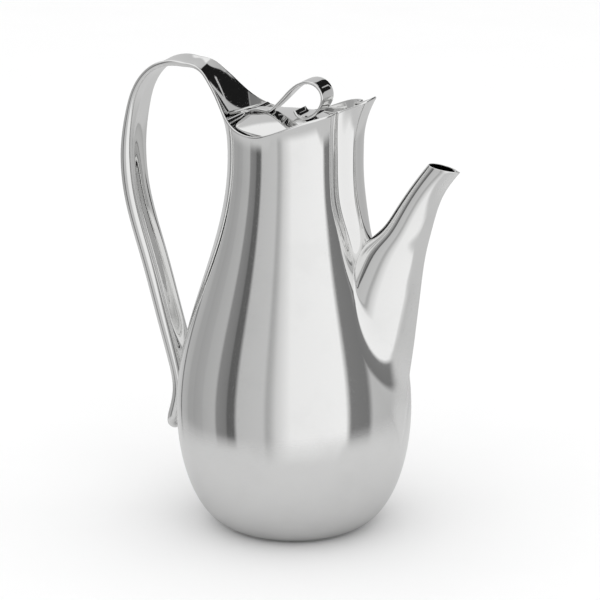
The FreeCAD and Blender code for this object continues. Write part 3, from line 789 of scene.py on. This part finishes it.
# %% Lid dome
LID_CLEARANCE = 0.9
LID_SHEET = 1.0
LID_TOP = 20.3
LID_RISE = 8.8
LID_CROWN_X = -6.0
LID_SKIRT = 1.8
LID_EDGE_RADIUS = 0.9
LID_CORNER_RADIUS = 2.5
LID_FOLD = 0.25             # small bevel at the lower edge of the skirt
LID_COLUMNS = 220
TOP_STEPS = 26
ROLL_STEPS = 9
UNDER_STEPS = 8
LID_SEARCH = (5.0, 60.0)
HINGE_X = -25.0
HINGE_HEIGHT = 17.2
PIN_RADIUS = 1.1
BARREL_RADIUS = 2.0
BARREL_GAP = 0.25
HINGE_FIT = 0.05
LID_BACK_GAP = 1.5

lid_bottom = NECK_HEIGHT + LID_TOP - LID_RISE - LID_SKIRT
lid_crown = NECK_HEIGHT + LID_TOP
lid_back = HINGE_X + BARREL_RADIUS + LID_BACK_GAP
lid_edge = float(wall_radius(0.0, lid_bottom, WALL)) - LID_CLEARANCE - LID_CROWN_X
lid_ball = (lid_edge ** 2 + LID_RISE ** 2) / (2 * LID_RISE)
ball_centre = lid_crown - lid_ball


def lid_outline(turns):
    """Distance from the crown's axis to the lid's outline, with softened corners at the back."""
    def outside(reach):
        x = LID_CROWN_X + reach * np.cos(turns)
        y = reach * np.sin(turns)
        round_gap = np.hypot(x, y) + LID_CLEARANCE
        round_gap = round_gap - wall_radius(np.degrees(np.arctan2(y, x)), lid_bottom, WALL)
        back_gap = lid_back - x
        near = np.maximum(LID_CORNER_RADIUS - np.abs(round_gap - back_gap), 0)
        return np.maximum(round_gap, back_gap) + near ** 2 / (4 * LID_CORNER_RADIUS)
    return crossing(outside, *[np.full(turns.shape, end) for end in LID_SEARCH])


def lid_column(reach):
    """Radius and height round one closed column, starting at the crown."""
    def cap(ball, end, steps):
        a = np.linspace(0, math.asin(end / ball), steps)
        return np.stack([ball * np.sin(a), ball_centre + ball * np.cos(a)], axis=-1)
    edge = reach - LID_EDGE_RADIUS
    start = math.asin(edge / (lid_ball - LID_EDGE_RADIUS))
    top = cap(lid_ball, lid_ball * math.sin(start), TOP_STEPS)
    roll_z = ball_centre + (lid_ball - LID_EDGE_RADIUS) * math.cos(start)
    a = np.linspace(start, np.pi / 2, ROLL_STEPS)[1:]
    roll = np.stack([edge + LID_EDGE_RADIUS * np.sin(a),
                     roll_z + LID_EDGE_RADIUS * np.cos(a)], axis=-1)
    inner = reach - LID_SHEET
    skirt = np.array([[reach, lid_bottom + LID_FOLD], [reach - LID_FOLD, lid_bottom],
                      [inner + LID_FOLD, lid_bottom], [inner, lid_bottom + LID_FOLD]])
    under = cap(lid_ball - LID_SHEET, inner, UNDER_STEPS)[::-1]
    return np.concatenate([top, roll, skirt, under])


lid_turns = np.linspace(0, 2 * np.pi, LID_COLUMNS, endpoint=False)
lid_grid = []
for turn, reach in zip(lid_turns, lid_outline(lid_turns)):
    column = lid_column(reach)
    lid_grid.append(np.stack([LID_CROWN_X + column[:, 0] * math.cos(turn),
                              column[:, 0] * math.sin(turn), column[:, 1]], axis=-1))
lid_grid = np.array(lid_grid)
lid = make_mesh("lid", lid_grid, grid_faces(*lid_grid.shape[:2], close_rows=True).tolist(),
                weld=0.002)

# %% [markdown]
# ## The hinge barrels
# Two short tubes hold the pin. They are welded to the neck, so their outer ends follow the curve of
# the neck's inner wall, and each point of that end is found on the wall.

# %% Hinge barrels
RIBBON_NARROW = 6.6
BARREL_COLUMNS = 48
BARREL_ROUND = 0.35
ROUND_STEPS = 6
BARREL_SEARCH = (4.0, 40.0)
hinge_z = NECK_HEIGHT + HINGE_HEIGHT


def barrel_points(side):
    turns = np.linspace(0, 2 * np.pi, BARREL_COLUMNS, endpoint=False)
    near = RIBBON_NARROW / 2 + BARREL_GAP

    def ring(radius, y):
        return np.stack([HINGE_X + radius * np.cos(turns), np.broadcast_to(side * y, turns.shape),
                         hinge_z + radius * np.sin(turns)], axis=-1)

    def wall_end(radius):
        x = HINGE_X + radius * np.cos(turns)
        z = hinge_z + radius * np.sin(turns)

        def past_wall(y):
            return np.hypot(x, y) - wall_radius(np.degrees(np.arctan2(y, x)), z, WALL)
        return crossing(past_wall, *[np.full(turns.shape, end) for end in BARREL_SEARCH])
    a = np.linspace(0, np.pi / 2, ROUND_STEPS)
    start = [ring(BARREL_RADIUS - BARREL_ROUND * (1 - math.sin(k)),
                  near + BARREL_ROUND * (1 - math.cos(k))) for k in a]
    far = wall_end(BARREL_RADIUS)
    along = [ring(BARREL_RADIUS, near + BARREL_ROUND + (far - near - BARREL_ROUND) * share)
             for share in (0.25, 0.5, 0.75, 1.0)]
    bore = [ring(PIN_RADIUS, wall_end(PIN_RADIUS)), ring(PIN_RADIUS, near)]
    return np.array(start + along + bore)


barrels = {}
for word, side in (("left", -1), ("right", 1)):
    points = barrel_points(side)
    faces = grid_faces(*points.shape[:2], close_rows=True, close_columns=True)
    barrels[word] = make_mesh("barrel_" + word, points, faces)

# %% [markdown]
# ## Wrappers for node trees
# Shader and geometry trees get long when every node is linked by hand. `Socket` wraps one output,
# so that sums and products are written as plain expressions. `Tree.node` makes any other node: its
# type, its settings, then the values or links of its inputs.

# %% Node helpers
class Socket:
    """One output of a node; arithmetic on it adds Math nodes."""

    def __init__(self, tree, output):
        self.tree = tree
        self.output = output

    def math(self, operation, *others):
        values = {0: self, **{i + 1: other for i, other in enumerate(others)}}
        return self.tree.node("ShaderNodeMath", {"operation": operation}, values)

    def __add__(self, other):
        return self.math("ADD", other)

    def __mul__(self, other):
        return self.math("MULTIPLY", other)

    def __rsub__(self, other):
        return self.tree.node("ShaderNodeMath", {"operation": "SUBTRACT"}, {0: other, 1: self})

    def __sub__(self, other):
        return self.math("SUBTRACT", other)

    def __truediv__(self, other):
        return self.math("DIVIDE", other)

    __radd__ = __add__
    __rmul__ = __mul__

    def ranged(self, low, high, to_low=0.0, to_high=1.0, kind="SMOOTHSTEP"):
        return self.tree.node("ShaderNodeMapRange", {"interpolation_type": kind},
                              {"Value": self, "From Min": low, "From Max": high,
                               "To Min": to_low, "To Max": to_high})

    def within(self, low, high, softness):
        """One between low and high, and zero outside, with soft ends."""
        return self.ranged(low, low + softness) * self.ranged(high, high + softness, 1.0, 0.0)


class Tree:
    """A node tree that is built from nothing, one call for each node."""

    def __init__(self, tree):
        self.tree = tree
        tree.nodes.clear()

    def raw(self, kind, settings=None, inputs=None):
        node = self.tree.nodes.new(kind)
        for name, value in (settings or {}).items():
            if name == "ramp":
                self.fill_ramp(node.color_ramp, value)
            else:
                setattr(node, name, value)
        for key, value in (inputs or {}).items():
            if isinstance(value, Socket):
                self.tree.links.new(value.output, node.inputs[key])
            else:
                node.inputs[key].default_value = value
        return node

    def node(self, kind, settings=None, inputs=None, output=0):
        return Socket(self, self.raw(kind, settings, inputs).outputs[output])

    def split(self, vector):
        """The three parts of a vector."""
        return [Socket(self, part)
                for part in self.raw("ShaderNodeSeparateXYZ", {}, {0: vector}).outputs]

    def colour_mix(self, factor, first, second):
        """A colour between two others, each a socket, a grey number or a colour."""
        colours = [shade if isinstance(shade, Socket) else four(shade) for shade in (first, second)]
        return self.node("ShaderNodeMix", {"data_type": "RGBA"},
                         {"Factor": factor, 6: colours[0], 7: colours[1]}, 2)

    @staticmethod
    def fill_ramp(ramp, stops):
        while len(ramp.elements) < len(stops):
            ramp.elements.new(1.0)
        for element, (place, shade) in zip(ramp.elements, stops):
            element.position = place
            element.color = four(shade)


def four(shade):
    """Colour with alpha, from a grey number or three numbers."""
    return (*shade, 1.0) if isinstance(shade, tuple) else (shade,) * 3 + (1.0,)


def new_material(name):
    """An empty material, its tree and the object's own coordinates."""
    material = bpy.data.materials.new(name)
    material.use_nodes = True
    tree = Tree(material.node_tree)
    return material, tree, tree.node("ShaderNodeTexCoord", {}, {}, "Object")


# %% [markdown]
# ## The ribbon finial
# A strip of sheet is rolled round the hinge pin, runs forward over the lid, and is thrown up in a
# loop that serves as the thumb grip. It follows a path, so Geometry Nodes make it: a tube whose
# points carry their share of the length and their turn round the section is laid along a curve.
# The width grows from the hinge to the loop, and the faces are slightly crowned.

# %% Ribbon path
RIBBON_THICKNESS = 1.4
RIBBON_WIDE = 12.8
RIBBON_TAPER = (-18.0, 4.0)
KNUCKLE_WRAP = 270.0
KNUCKLE_STEP = 15.0
RIBBON_LINE = [(-20.5, -0.1), (-16.0, 0.35), (-12.0, 0.42), (-8.6, 2.6), (-3.2, 8.0), (1.6, 12.8),
               (6.3, 15.9), (10.9, 16.7), (15.1, 14.8), (17.3, 10.9), (16.7, 6.3), (13.4, 1.9),
               (8.4, -0.65), (4.6, 0.2), (3.0, 2.4)]


def ribbon_points():
    roll = PIN_RADIUS + HINGE_FIT + RIBBON_THICKNESS / 2
    turns = np.radians(90 + np.arange(KNUCKLE_WRAP, -1, -KNUCKLE_STEP))
    points = [(HINGE_X + roll * math.cos(a), hinge_z + roll * math.sin(a)) for a in turns]
    return points + [(x, lid_crown + up) for x, up in RIBBON_LINE]


ribbon_path = FlatPath(ribbon_points())
ribbon_length = float(ribbon_path.marks[-1])
print(f"ribbon: {ribbon_length:.1f} mm of strip")


def path_object(name, points):
    """A poly curve through many close points, for Geometry Nodes to measure along."""
    curve = bpy.data.curves.new(name, "CURVE")
    curve.dimensions = "3D"
    line = curve.splines.new("POLY")
    line.points.add(len(points) - 1)
    for spot, place in zip(line.points, points * MM):
        spot.co = (*place, 1.0)
    holder = bpy.data.objects.new(name, curve)
    bpy.context.scene.collection.objects.link(holder)
    return holder


RIBBON_SAMPLES = 600
ribbon_curve = path_object("ribbon_path",
                           ribbon_path.place(np.linspace(0, ribbon_length, RIBBON_SAMPLES)))


# %% Ribbon tree
RIBBON_SECTION = 64
RIBBON_RINGS = 420
RIBBON_FLATNESS = 6.0       # how much sooner than a circle the section runs flat
STEEL_SLOT = "NodeSocketMaterial"


def group_with_inputs(name, sizes):
    """Geometry tree with a geometry input and output and one named number for each size."""
    group = bpy.data.node_groups.new(name, "GeometryNodeTree")
    group.interface.new_socket("Geometry", in_out="INPUT", socket_type="NodeSocketGeometry")
    group.interface.new_socket("Geometry", in_out="OUTPUT", socket_type="NodeSocketGeometry")
    for word, (kind, value) in sizes.items():
        item = group.interface.new_socket(word, in_out="INPUT", socket_type=kind)
        if kind != "NodeSocketMaterial":
            item.default_value = value
    tree = Tree(group)
    source = group.nodes.new("NodeGroupInput")
    ends = {socket.name: Socket(tree, socket) for socket in source.outputs if socket.name}
    return group, tree, ends


def evaluated_piece(name, holder, group, sizes):
    """Run a geometry tree on an object and keep its result as a plain mesh."""
    modifier = holder.modifiers.new(name, "NODES")
    modifier.node_group = group
    for item in group.interface.items_tree:
        if item.in_out == "INPUT" and item.name in sizes:
            modifier[item.identifier] = sizes[item.name][1]
    bpy.context.view_layer.update()
    seen = holder.evaluated_get(bpy.context.evaluated_depsgraph_get())
    mesh = bpy.data.meshes.new_from_object(seen)
    mesh.name = name
    holder.modifiers.remove(modifier)
    piece = bpy.data.objects.new(name, mesh)
    bpy.context.scene.collection.objects.link(piece)
    return piece


def ribbon_tree(sizes):
    group, tree, ends = group_with_inputs("ribbon along its path", sizes)
    tube = tree.raw("GeometryNodeMeshCylinder", {"fill_type": "NGON"},
                    {"Vertices": RIBBON_SECTION, "Side Segments": RIBBON_RINGS, "Radius": 1.0,
                     "Depth": 1.0})
    x, y, z = tree.split(tree.node("GeometryNodeInputPosition"))
    sample = tree.raw("GeometryNodeSampleCurve", {"mode": "FACTOR", "use_all_curves": True},
                      {"Curves": ends["Geometry"], "Factor": z + 0.5})
    place = Socket(tree, sample.outputs["Position"])
    tangent = Socket(tree, sample.outputs["Tangent"])
    out = tree.node("ShaderNodeVectorMath", {"operation": "CROSS_PRODUCT"},
                    {0: (0.0, 1.0, 0.0), 1: tangent})
    widening = tree.split(place)[0].ranged(RIBBON_TAPER[0] * MM, RIBBON_TAPER[1] * MM, 0.0, 1.0,
                                           "LINEAR")
    half_width = ends["Narrow half"] + widening * (ends["Wide half"] - ends["Narrow half"])
    radius = ends["Thickness"] * 0.5
    flat = half_width - radius
    share = (x * RIBBON_FLATNESS).math("MINIMUM", 1.0).math("MAXIMUM", -1.0)
    across = flat * share + radius * x
    side = tree.node("ShaderNodeCombineXYZ", {}, {"Y": across})
    lift = tree.node("ShaderNodeVectorMath", {"operation": "SCALE"}, {0: out, "Scale": radius * y})
    moved = tree.node("ShaderNodeVectorMath", {"operation": "ADD"}, {0: place, 1: lift})
    moved = tree.node("ShaderNodeVectorMath", {"operation": "ADD"}, {0: moved, 1: side})
    laid = tree.node("GeometryNodeSetPosition", {},
                     {"Geometry": Socket(tree, tube.outputs["Mesh"]), "Position": moved})
    real = tree.node("GeometryNodeRealizeInstances", {}, {"Geometry": laid})
    done = tree.node("GeometryNodeSetMaterial", {}, {"Geometry": real, "Material": ends["Finish"]})
    tree.raw("NodeGroupOutput", {}, {"Geometry": done})
    return group


ribbon_sizes = {"Narrow half": ("NodeSocketFloat", RIBBON_NARROW / 2 * MM),
                "Wide half": ("NodeSocketFloat", RIBBON_WIDE / 2 * MM),
                "Thickness": ("NodeSocketFloat", RIBBON_THICKNESS * MM)}

# %% [markdown]
# ## Finishes
# Polished stainless is a mirror that has lived: the buffing wheel leaves very fine arcs, handling
# adds hair scratches, and fingerprints and washing make the gloss vary softly. None of this may be
# strong, or the metal turns to satin. Inside, where nobody buffs, the steel keeps the matt face of
# the rolled sheet.

# %% Polished and satin steel
SCRATCH_STRETCH = 0.012     # how narrow the noise is made across a scratch
SCRATCH_EDGE = 0.06
WORN_SHADE = 0.93
STAIN_SHADE = 0.82


def hair_scratches(tree, place, scale, angle, threshold):
    """Thin broken lines in one direction, from noise stretched along it."""
    turned = tree.node("ShaderNodeMapping", {},
                       {"Vector": place, "Rotation": angle,
                        "Scale": (scale, scale * SCRATCH_STRETCH, scale)})
    noise = tree.node("ShaderNodeTexNoise", {}, {"Vector": turned, "Scale": 1.0, "Detail": 2.0,
                                                 "Roughness": 0.6})
    return noise.ranged(threshold, threshold + SCRATCH_EDGE)


def close_steel(material, tree, tint, rough, bump):
    steel = tree.node("ShaderNodeBsdfPrincipled", {}, {"Base Color": tint, "Metallic": 1.0,
                                                       "Roughness": rough, "Normal": bump})
    tree.raw("ShaderNodeOutputMaterial", {}, {"Surface": steel})
    return material


def polished_steel(name, shade, roughness, scratch_depth):
    material, tree, place = new_material(name)
    clouds = tree.node("ShaderNodeTexNoise", {}, {"Vector": place, "Scale": 38.0, "Detail": 4.0,
                                                  "Roughness": 0.55})
    grain = tree.node("ShaderNodeTexNoise", {}, {"Vector": place, "Scale": 900.0, "Detail": 3.0,
                                                 "Roughness": 0.6})
    scratches = hair_scratches(tree, place, 2600.0, (0.5, 0.35, 0.9), 0.66)
    scratches = scratches + hair_scratches(tree, place, 1900.0, (1.2, -0.6, 0.2), 0.68)
    worn = clouds.ranged(0.45, 0.75)
    tint = tree.colour_mix(worn * 0.5 + scratches * 0.3, shade,
                           tuple(value * WORN_SHADE for value in shade))
    rough = worn * 0.018 + grain * 0.012 + scratches * 0.03 + roughness
    bump = tree.node("ShaderNodeBump", {}, {"Strength": 0.25, "Distance": scratch_depth,
                                            "Height": grain * 0.35 - scratches})
    return close_steel(material, tree, tint, rough, bump)


def satin_steel(name, shade, roughness):
    """Rolled sheet: a fine grain drawn out in one direction."""
    material, tree, place = new_material(name)
    drawn = tree.node("ShaderNodeMapping", {}, {"Vector": place, "Scale": (90.0, 2400.0, 900.0)})
    grain = tree.node("ShaderNodeTexNoise", {}, {"Vector": drawn, "Scale": 1.0, "Detail": 3.0})
    stain = tree.node("ShaderNodeTexNoise", {}, {"Vector": place, "Scale": 60.0, "Detail": 4.0})
    tint = tree.colour_mix(stain.ranged(0.4, 0.8), shade,
                           tuple(value * STAIN_SHADE for value in shade))
    bump = tree.node("ShaderNodeBump", {}, {"Strength": 0.3, "Distance": 0.00003, "Height": grain})
    return close_steel(material, tree, tint, grain * 0.16 + stain * 0.08 + roughness, bump)


body_steel = polished_steel("polished body steel", (0.84, 0.84, 0.835), 0.028, 0.00002)
trim_steel = polished_steel("polished trim steel", (0.85, 0.85, 0.845), 0.022, 0.000015)
inside_steel = satin_steel("satin inside steel", (0.72, 0.72, 0.71), 0.24)

# %% Ribbon piece
ribbon_sizes["Finish"] = (STEEL_SLOT, trim_steel)
ribbon = evaluated_piece("ribbon_finial_loop", ribbon_curve, ribbon_tree(ribbon_sizes),
                         ribbon_sizes)
bpy.data.objects.remove(ribbon_curve)
finish_mesh(ribbon)

# %% [markdown]
# ## The strainer
# Behind the spout the body wall is pierced with a grid of round holes that hold the leaves or
# grounds back. A grid of pegs, placed by Geometry Nodes, is cut out of the wall in one boolean.

# %% Strainer holes
HOLE_RADIUS = 2.5
HOLE_PITCH = 7.5
HOLE_ROWS = 5
HOLE_COLUMNS = 3
HOLES_HEIGHT = 106.0
PEG_SIDES = 40
PEG_MIDDLE = 0.7            # shares of the belly's radius: the pegs' middle
PEG_LENGTH = 0.75           # and their length, which reaches through the wall


def strainer_tree(sizes):
    group, tree, ends = group_with_inputs("pierced strainer", sizes)
    grid = tree.raw("GeometryNodeMeshGrid", {},
                    {"Size X": ends["Pitch"] * (HOLE_ROWS - 1.0),
                     "Size Y": ends["Pitch"] * (HOLE_COLUMNS - 1.0),
                     "Vertices X": HOLE_ROWS, "Vertices Y": HOLE_COLUMNS})
    upright = tree.node("GeometryNodeTransform", {},
                        {"Geometry": Socket(tree, grid.outputs["Mesh"]),
                         "Rotation": (0.0, math.radians(90), 0.0),
                         "Translation": (BELLY_RADIUS * PEG_MIDDLE * MM, 0.0, HOLES_HEIGHT * MM)})
    peg = tree.raw("GeometryNodeMeshCylinder", {"fill_type": "NGON"},
                   {"Vertices": PEG_SIDES, "Radius": ends["Hole radius"],
                    "Depth": BELLY_RADIUS * PEG_LENGTH * MM})
    pegs = tree.node("GeometryNodeInstanceOnPoints", {},
                     {"Points": upright, "Instance": Socket(tree, peg.outputs["Mesh"]),
                      "Rotation": (0.0, math.radians(90), 0.0)})
    real = tree.node("GeometryNodeRealizeInstances", {}, {"Geometry": pegs})
    cut = tree.raw("GeometryNodeMeshBoolean", {"operation": "DIFFERENCE", "solver": "EXACT"},
                   {"Mesh 1": ends["Geometry"], "Mesh 2": real})
    done = tree.node("GeometryNodeSetMaterial", {},
                     {"Geometry": Socket(tree, cut.outputs["Mesh"]), "Material": ends["Finish"]})
    tree.raw("NodeGroupOutput", {}, {"Geometry": done})
    return group


strainer_sizes = {"Hole radius": ("NodeSocketFloat", HOLE_RADIUS * MM),
                  "Pitch": ("NodeSocketFloat", HOLE_PITCH * MM),
                  "Finish": (STEEL_SLOT, body_steel)}
pierced = evaluated_piece("body_pierced", body, strainer_tree(strainer_sizes), strainer_sizes)
bpy.data.objects.remove(body)
body = pierced
finish_mesh(body)

# %% [markdown]
# ## Which piece stands for which part
# Each smooth piece takes the place of its CAD node, rides on the same body, and gets its
# finish. The nodes that stay get their finish too.

# %% Bodies, nodes and slots
STANDS_FOR = [
    (body, "pot", "body_shell", "polished_body", body_steel),
    (strap, "pot", "handle_strap", "polished_body", body_steel),
    (spout, "pot", "spout_tube", "polished_body", body_steel),
    (barrels["left"], "pot", "hinge_barrel_left", "polished_trim", trim_steel),
    (barrels["right"], "pot", "hinge_barrel_right", "polished_trim", trim_steel),
    (lid, "lid", "lid_dome", "polished_trim", trim_steel),
    (ribbon, "lid", "ribbon_finial", "polished_trim", trim_steel),
]
for piece, rides_on, node, slot, finish in STANDS_FOR:
    piece.data.materials.clear()
    piece.data.materials.append(finish)
    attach(piece, rides_on)
    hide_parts(node)
for node in ("base_disc", "lid_seat_ring", "hinge_pin", "lid_underside"):
    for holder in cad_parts[node].material_slots:
        holder.material = inside_steel

# %% [markdown]
# ## Floor, studio and camera
# The pot stands on a plain pale floor in a soft white room. What a mirror shows is its
# surroundings, so the room is drawn as a ring of tall bright and grey panels round the pot: a
# bright softbox on one side, open grey on the other, and a few dark cards that give the metal its
# edges. The floor's paper is wide for the camera, but the metal sees only a small round table that
# fades towards its rim, because a wide white floor would hide the panels from the neck.

# %% Floor
FLOOR_SIZE = 6.0
TABLE_RADIUS = 0.27
TABLE_SOLID_RADIUS = 0.09
TABLE_CENTRE = (0.03, 0.0)
TABLE_SIDES = 96
TABLE_LIFT = 0.00005        # keeps the two sheets apart


def paper(name, light, dark, fades=False):
    """Plain matt board with a faint mottle; a board that fades shows no hard rim in the metal."""
    material, tree, place = new_material(name)
    mottle = tree.node("ShaderNodeTexNoise", {}, {"Vector": place, "Scale": 14.0, "Detail": 3.0})
    board = tree.node("ShaderNodeBsdfPrincipled", {},
                      {"Base Color": tree.colour_mix(mottle, light, dark), "Roughness": 0.9})
    if fades:
        away = tree.node("ShaderNodeVectorMath", {"operation": "DISTANCE"},
                         {0: place, 1: (*TABLE_CENTRE, 0.0)}, "Value")
        clear = tree.node("ShaderNodeBsdfTransparent")
        board = tree.node("ShaderNodeMixShader", {},
                          {0: away.ranged(TABLE_SOLID_RADIUS, TABLE_RADIUS), 1: board, 2: clear})
    tree.raw("ShaderNodeOutputMaterial", {}, {"Surface": board})
    return material


def flat_stage(name, corners, height, material):
    mesh = bpy.data.meshes.new(name)
    mesh.from_pydata([(x, y, height) for x, y in corners], [], [range(len(corners))])
    mesh.materials.append(material)
    sheet = bpy.data.objects.new(name, mesh)
    bpy.context.scene.collection.objects.link(sheet)
    return sheet


edge = FLOOR_SIZE / 2
floor = flat_stage("floor", [(-edge, -edge), (edge, -edge), (edge, edge), (-edge, edge)], 0.0,
                   paper("pale floor", 0.93, 0.91))
floor.visible_glossy = False
turns = np.linspace(0, 2 * math.pi, TABLE_SIDES, endpoint=False)
table = flat_stage("table_in_reflections",
                   [(TABLE_CENTRE[0] + TABLE_RADIUS * math.cos(a),
                     TABLE_CENTRE[1] + TABLE_RADIUS * math.sin(a)) for a in turns],
                   TABLE_LIFT, paper("table board", 0.66, 0.64, fades=True))
table.visible_camera = False
table.visible_diffuse = False
table.visible_shadow = False

# %% Studio room
# Plan direction in degrees from +X towards +Y, and brightness at eye level
ROOM_PANELS = [(-180, 0.38), (-166, 0.42), (-163, 0.46), (-148, 0.50), (-145, 0.26),
               (-134, 0.22), (-132, 0.12), (-125, 0.13), (-121, 0.56), (-95, 0.60), (-91, 0.44),
               (-88, 0.48), (-82, 0.70), (-68, 0.95), (-14, 1.00), (-8, 0.22), (12, 0.20),
               (18, 0.55), (58, 0.50), (100, 0.58), (140, 0.62), (149, 0.55), (151, 0.05),
               (154, 0.50), (166, 0.46), (170, 0.40)]
ROOM_BACKDROP = 1.0
ROOM_CEILING = 0.95
# Directions in degrees and heights as the sine of the elevation, each from one end to the other
CARD_TURN = (14.0, 97.0)
CARD_HEIGHT = (0.13, 0.55)
CARD_SHADE = 0.012
CARD_SIDE_EDGE = 2.0
CARD_EDGE = 0.03
STRIP_TURN = (70.0, 73.5)
STRIP_TOP = 0.36
STRIP_EDGE = 1.0
LOW_PANEL_TURN = (-112.0, -24.0)
LOW_PANEL_EDGE = 10.0
LOW_PANEL_DROP = 0.11
NEAR_GROUND = (-0.43, -0.31)
GROUND_SHADE = 0.62
OPEN_SIDE_TURN = (98.0, 104.0)
OPEN_SIDE_HEIGHT = (0.50, 0.58)
CEILING_HEIGHT = (0.80, 0.92)


def studio_room():
    world = bpy.data.worlds.new("studio room")
    world.use_nodes = True
    bpy.context.scene.world = world
    tree = Tree(world.node_tree)
    x, y, z = tree.split(tree.node("ShaderNodeTexCoord", {}, {}, "Generated"))
    turn = y.math("ARCTAN2", x) * (180 / math.pi)
    stops = [((angle + 180) / 360, shade) for angle, shade in ROOM_PANELS]
    ring = tree.node("ShaderNodeValToRGB", {"ramp": stops}, {0: turn / 360 + 0.5})
    strip = turn.within(*STRIP_TURN, STRIP_EDGE)
    strip = strip * z.ranged(STRIP_TOP, STRIP_TOP + CARD_EDGE, 1.0, 0.0)
    card = turn.within(*CARD_TURN, CARD_SIDE_EDGE) * z.within(*CARD_HEIGHT, CARD_EDGE)
    height = z + turn.within(*LOW_PANEL_TURN, LOW_PANEL_EDGE) * LOW_PANEL_DROP
    ground = tree.colour_mix(height.ranged(*NEAR_GROUND), GROUND_SHADE, ring)
    walls = tree.colour_mix(card * (1 - strip), ground, CARD_SHADE)
    open_side = turn.ranged(*OPEN_SIDE_TURN) * z.ranged(*OPEN_SIDE_HEIGHT)
    above = z.ranged(*CEILING_HEIGHT).math("MAXIMUM", open_side)
    seen = tree.node("ShaderNodeBackground", {},
                     {"Color": tree.colour_mix(above, walls, ROOM_CEILING), "Strength": 1.0})
    backdrop = tree.node("ShaderNodeBackground", {}, {"Color": four(1.0),
                                                      "Strength": ROOM_BACKDROP})
    by_metal = tree.node("ShaderNodeLightPath", {}, {}, "Is Glossy Ray")
    mixed = tree.node("ShaderNodeMixShader", {}, {0: by_metal, 1: backdrop, 2: seen})
    tree.raw("ShaderNodeOutputWorld", {}, {"Surface": mixed})


studio_room()


def overhead_light(name, place, size, power):
    """Large soft light for the floor and the shadow; polished metal doesn't show it."""
    data = bpy.data.lights.new(name, "AREA")
    data.size = size
    data.energy = power
    lamp = bpy.data.objects.new(name, data)
    lamp.location = place
    lamp.rotation_euler = (Vector((0, 0, 0)) - Vector(place)).to_track_quat("-Z", "Y").to_euler()
    lamp.visible_glossy = False
    bpy.context.scene.collection.objects.link(lamp)


LAMP_PLACE = (0.1, -0.3, 2.2)
LAMP_SIZE = 3.2
LAMP_POWER = 12.0
overhead_light("overhead", LAMP_PLACE, LAMP_SIZE, LAMP_POWER)

# %% Camera
CAMERA_AZIMUTH = math.radians(25)
CAMERA_ELEVATION = math.radians(17)
CAMERA_DISTANCE = 1.3
CAMERA_AIM = Vector((0.0, 0.0, 0.1124))
CAMERA_SIDE_STEP = 0.00296
CAMERA_LENS = 160.7

right = Vector((math.cos(CAMERA_AZIMUTH), math.sin(CAMERA_AZIMUTH), 0))
back = Vector((math.sin(CAMERA_AZIMUTH) * math.cos(CAMERA_ELEVATION),
               -math.cos(CAMERA_AZIMUTH) * math.cos(CAMERA_ELEVATION), math.sin(CAMERA_ELEVATION)))
lens = bpy.data.cameras.new("camera")
lens.lens = CAMERA_LENS
lens.sensor_width = 36.0
camera = bpy.data.objects.new("camera", lens)
camera.location = CAMERA_AIM + right * CAMERA_SIDE_STEP + back * CAMERA_DISTANCE
camera.rotation_euler = back.to_track_quat("Z", "Y").to_euler()
bpy.context.scene.collection.objects.link(camera)
bpy.context.scene.camera = camera
bpy.context.scene.view_settings.view_transform = "Standard"
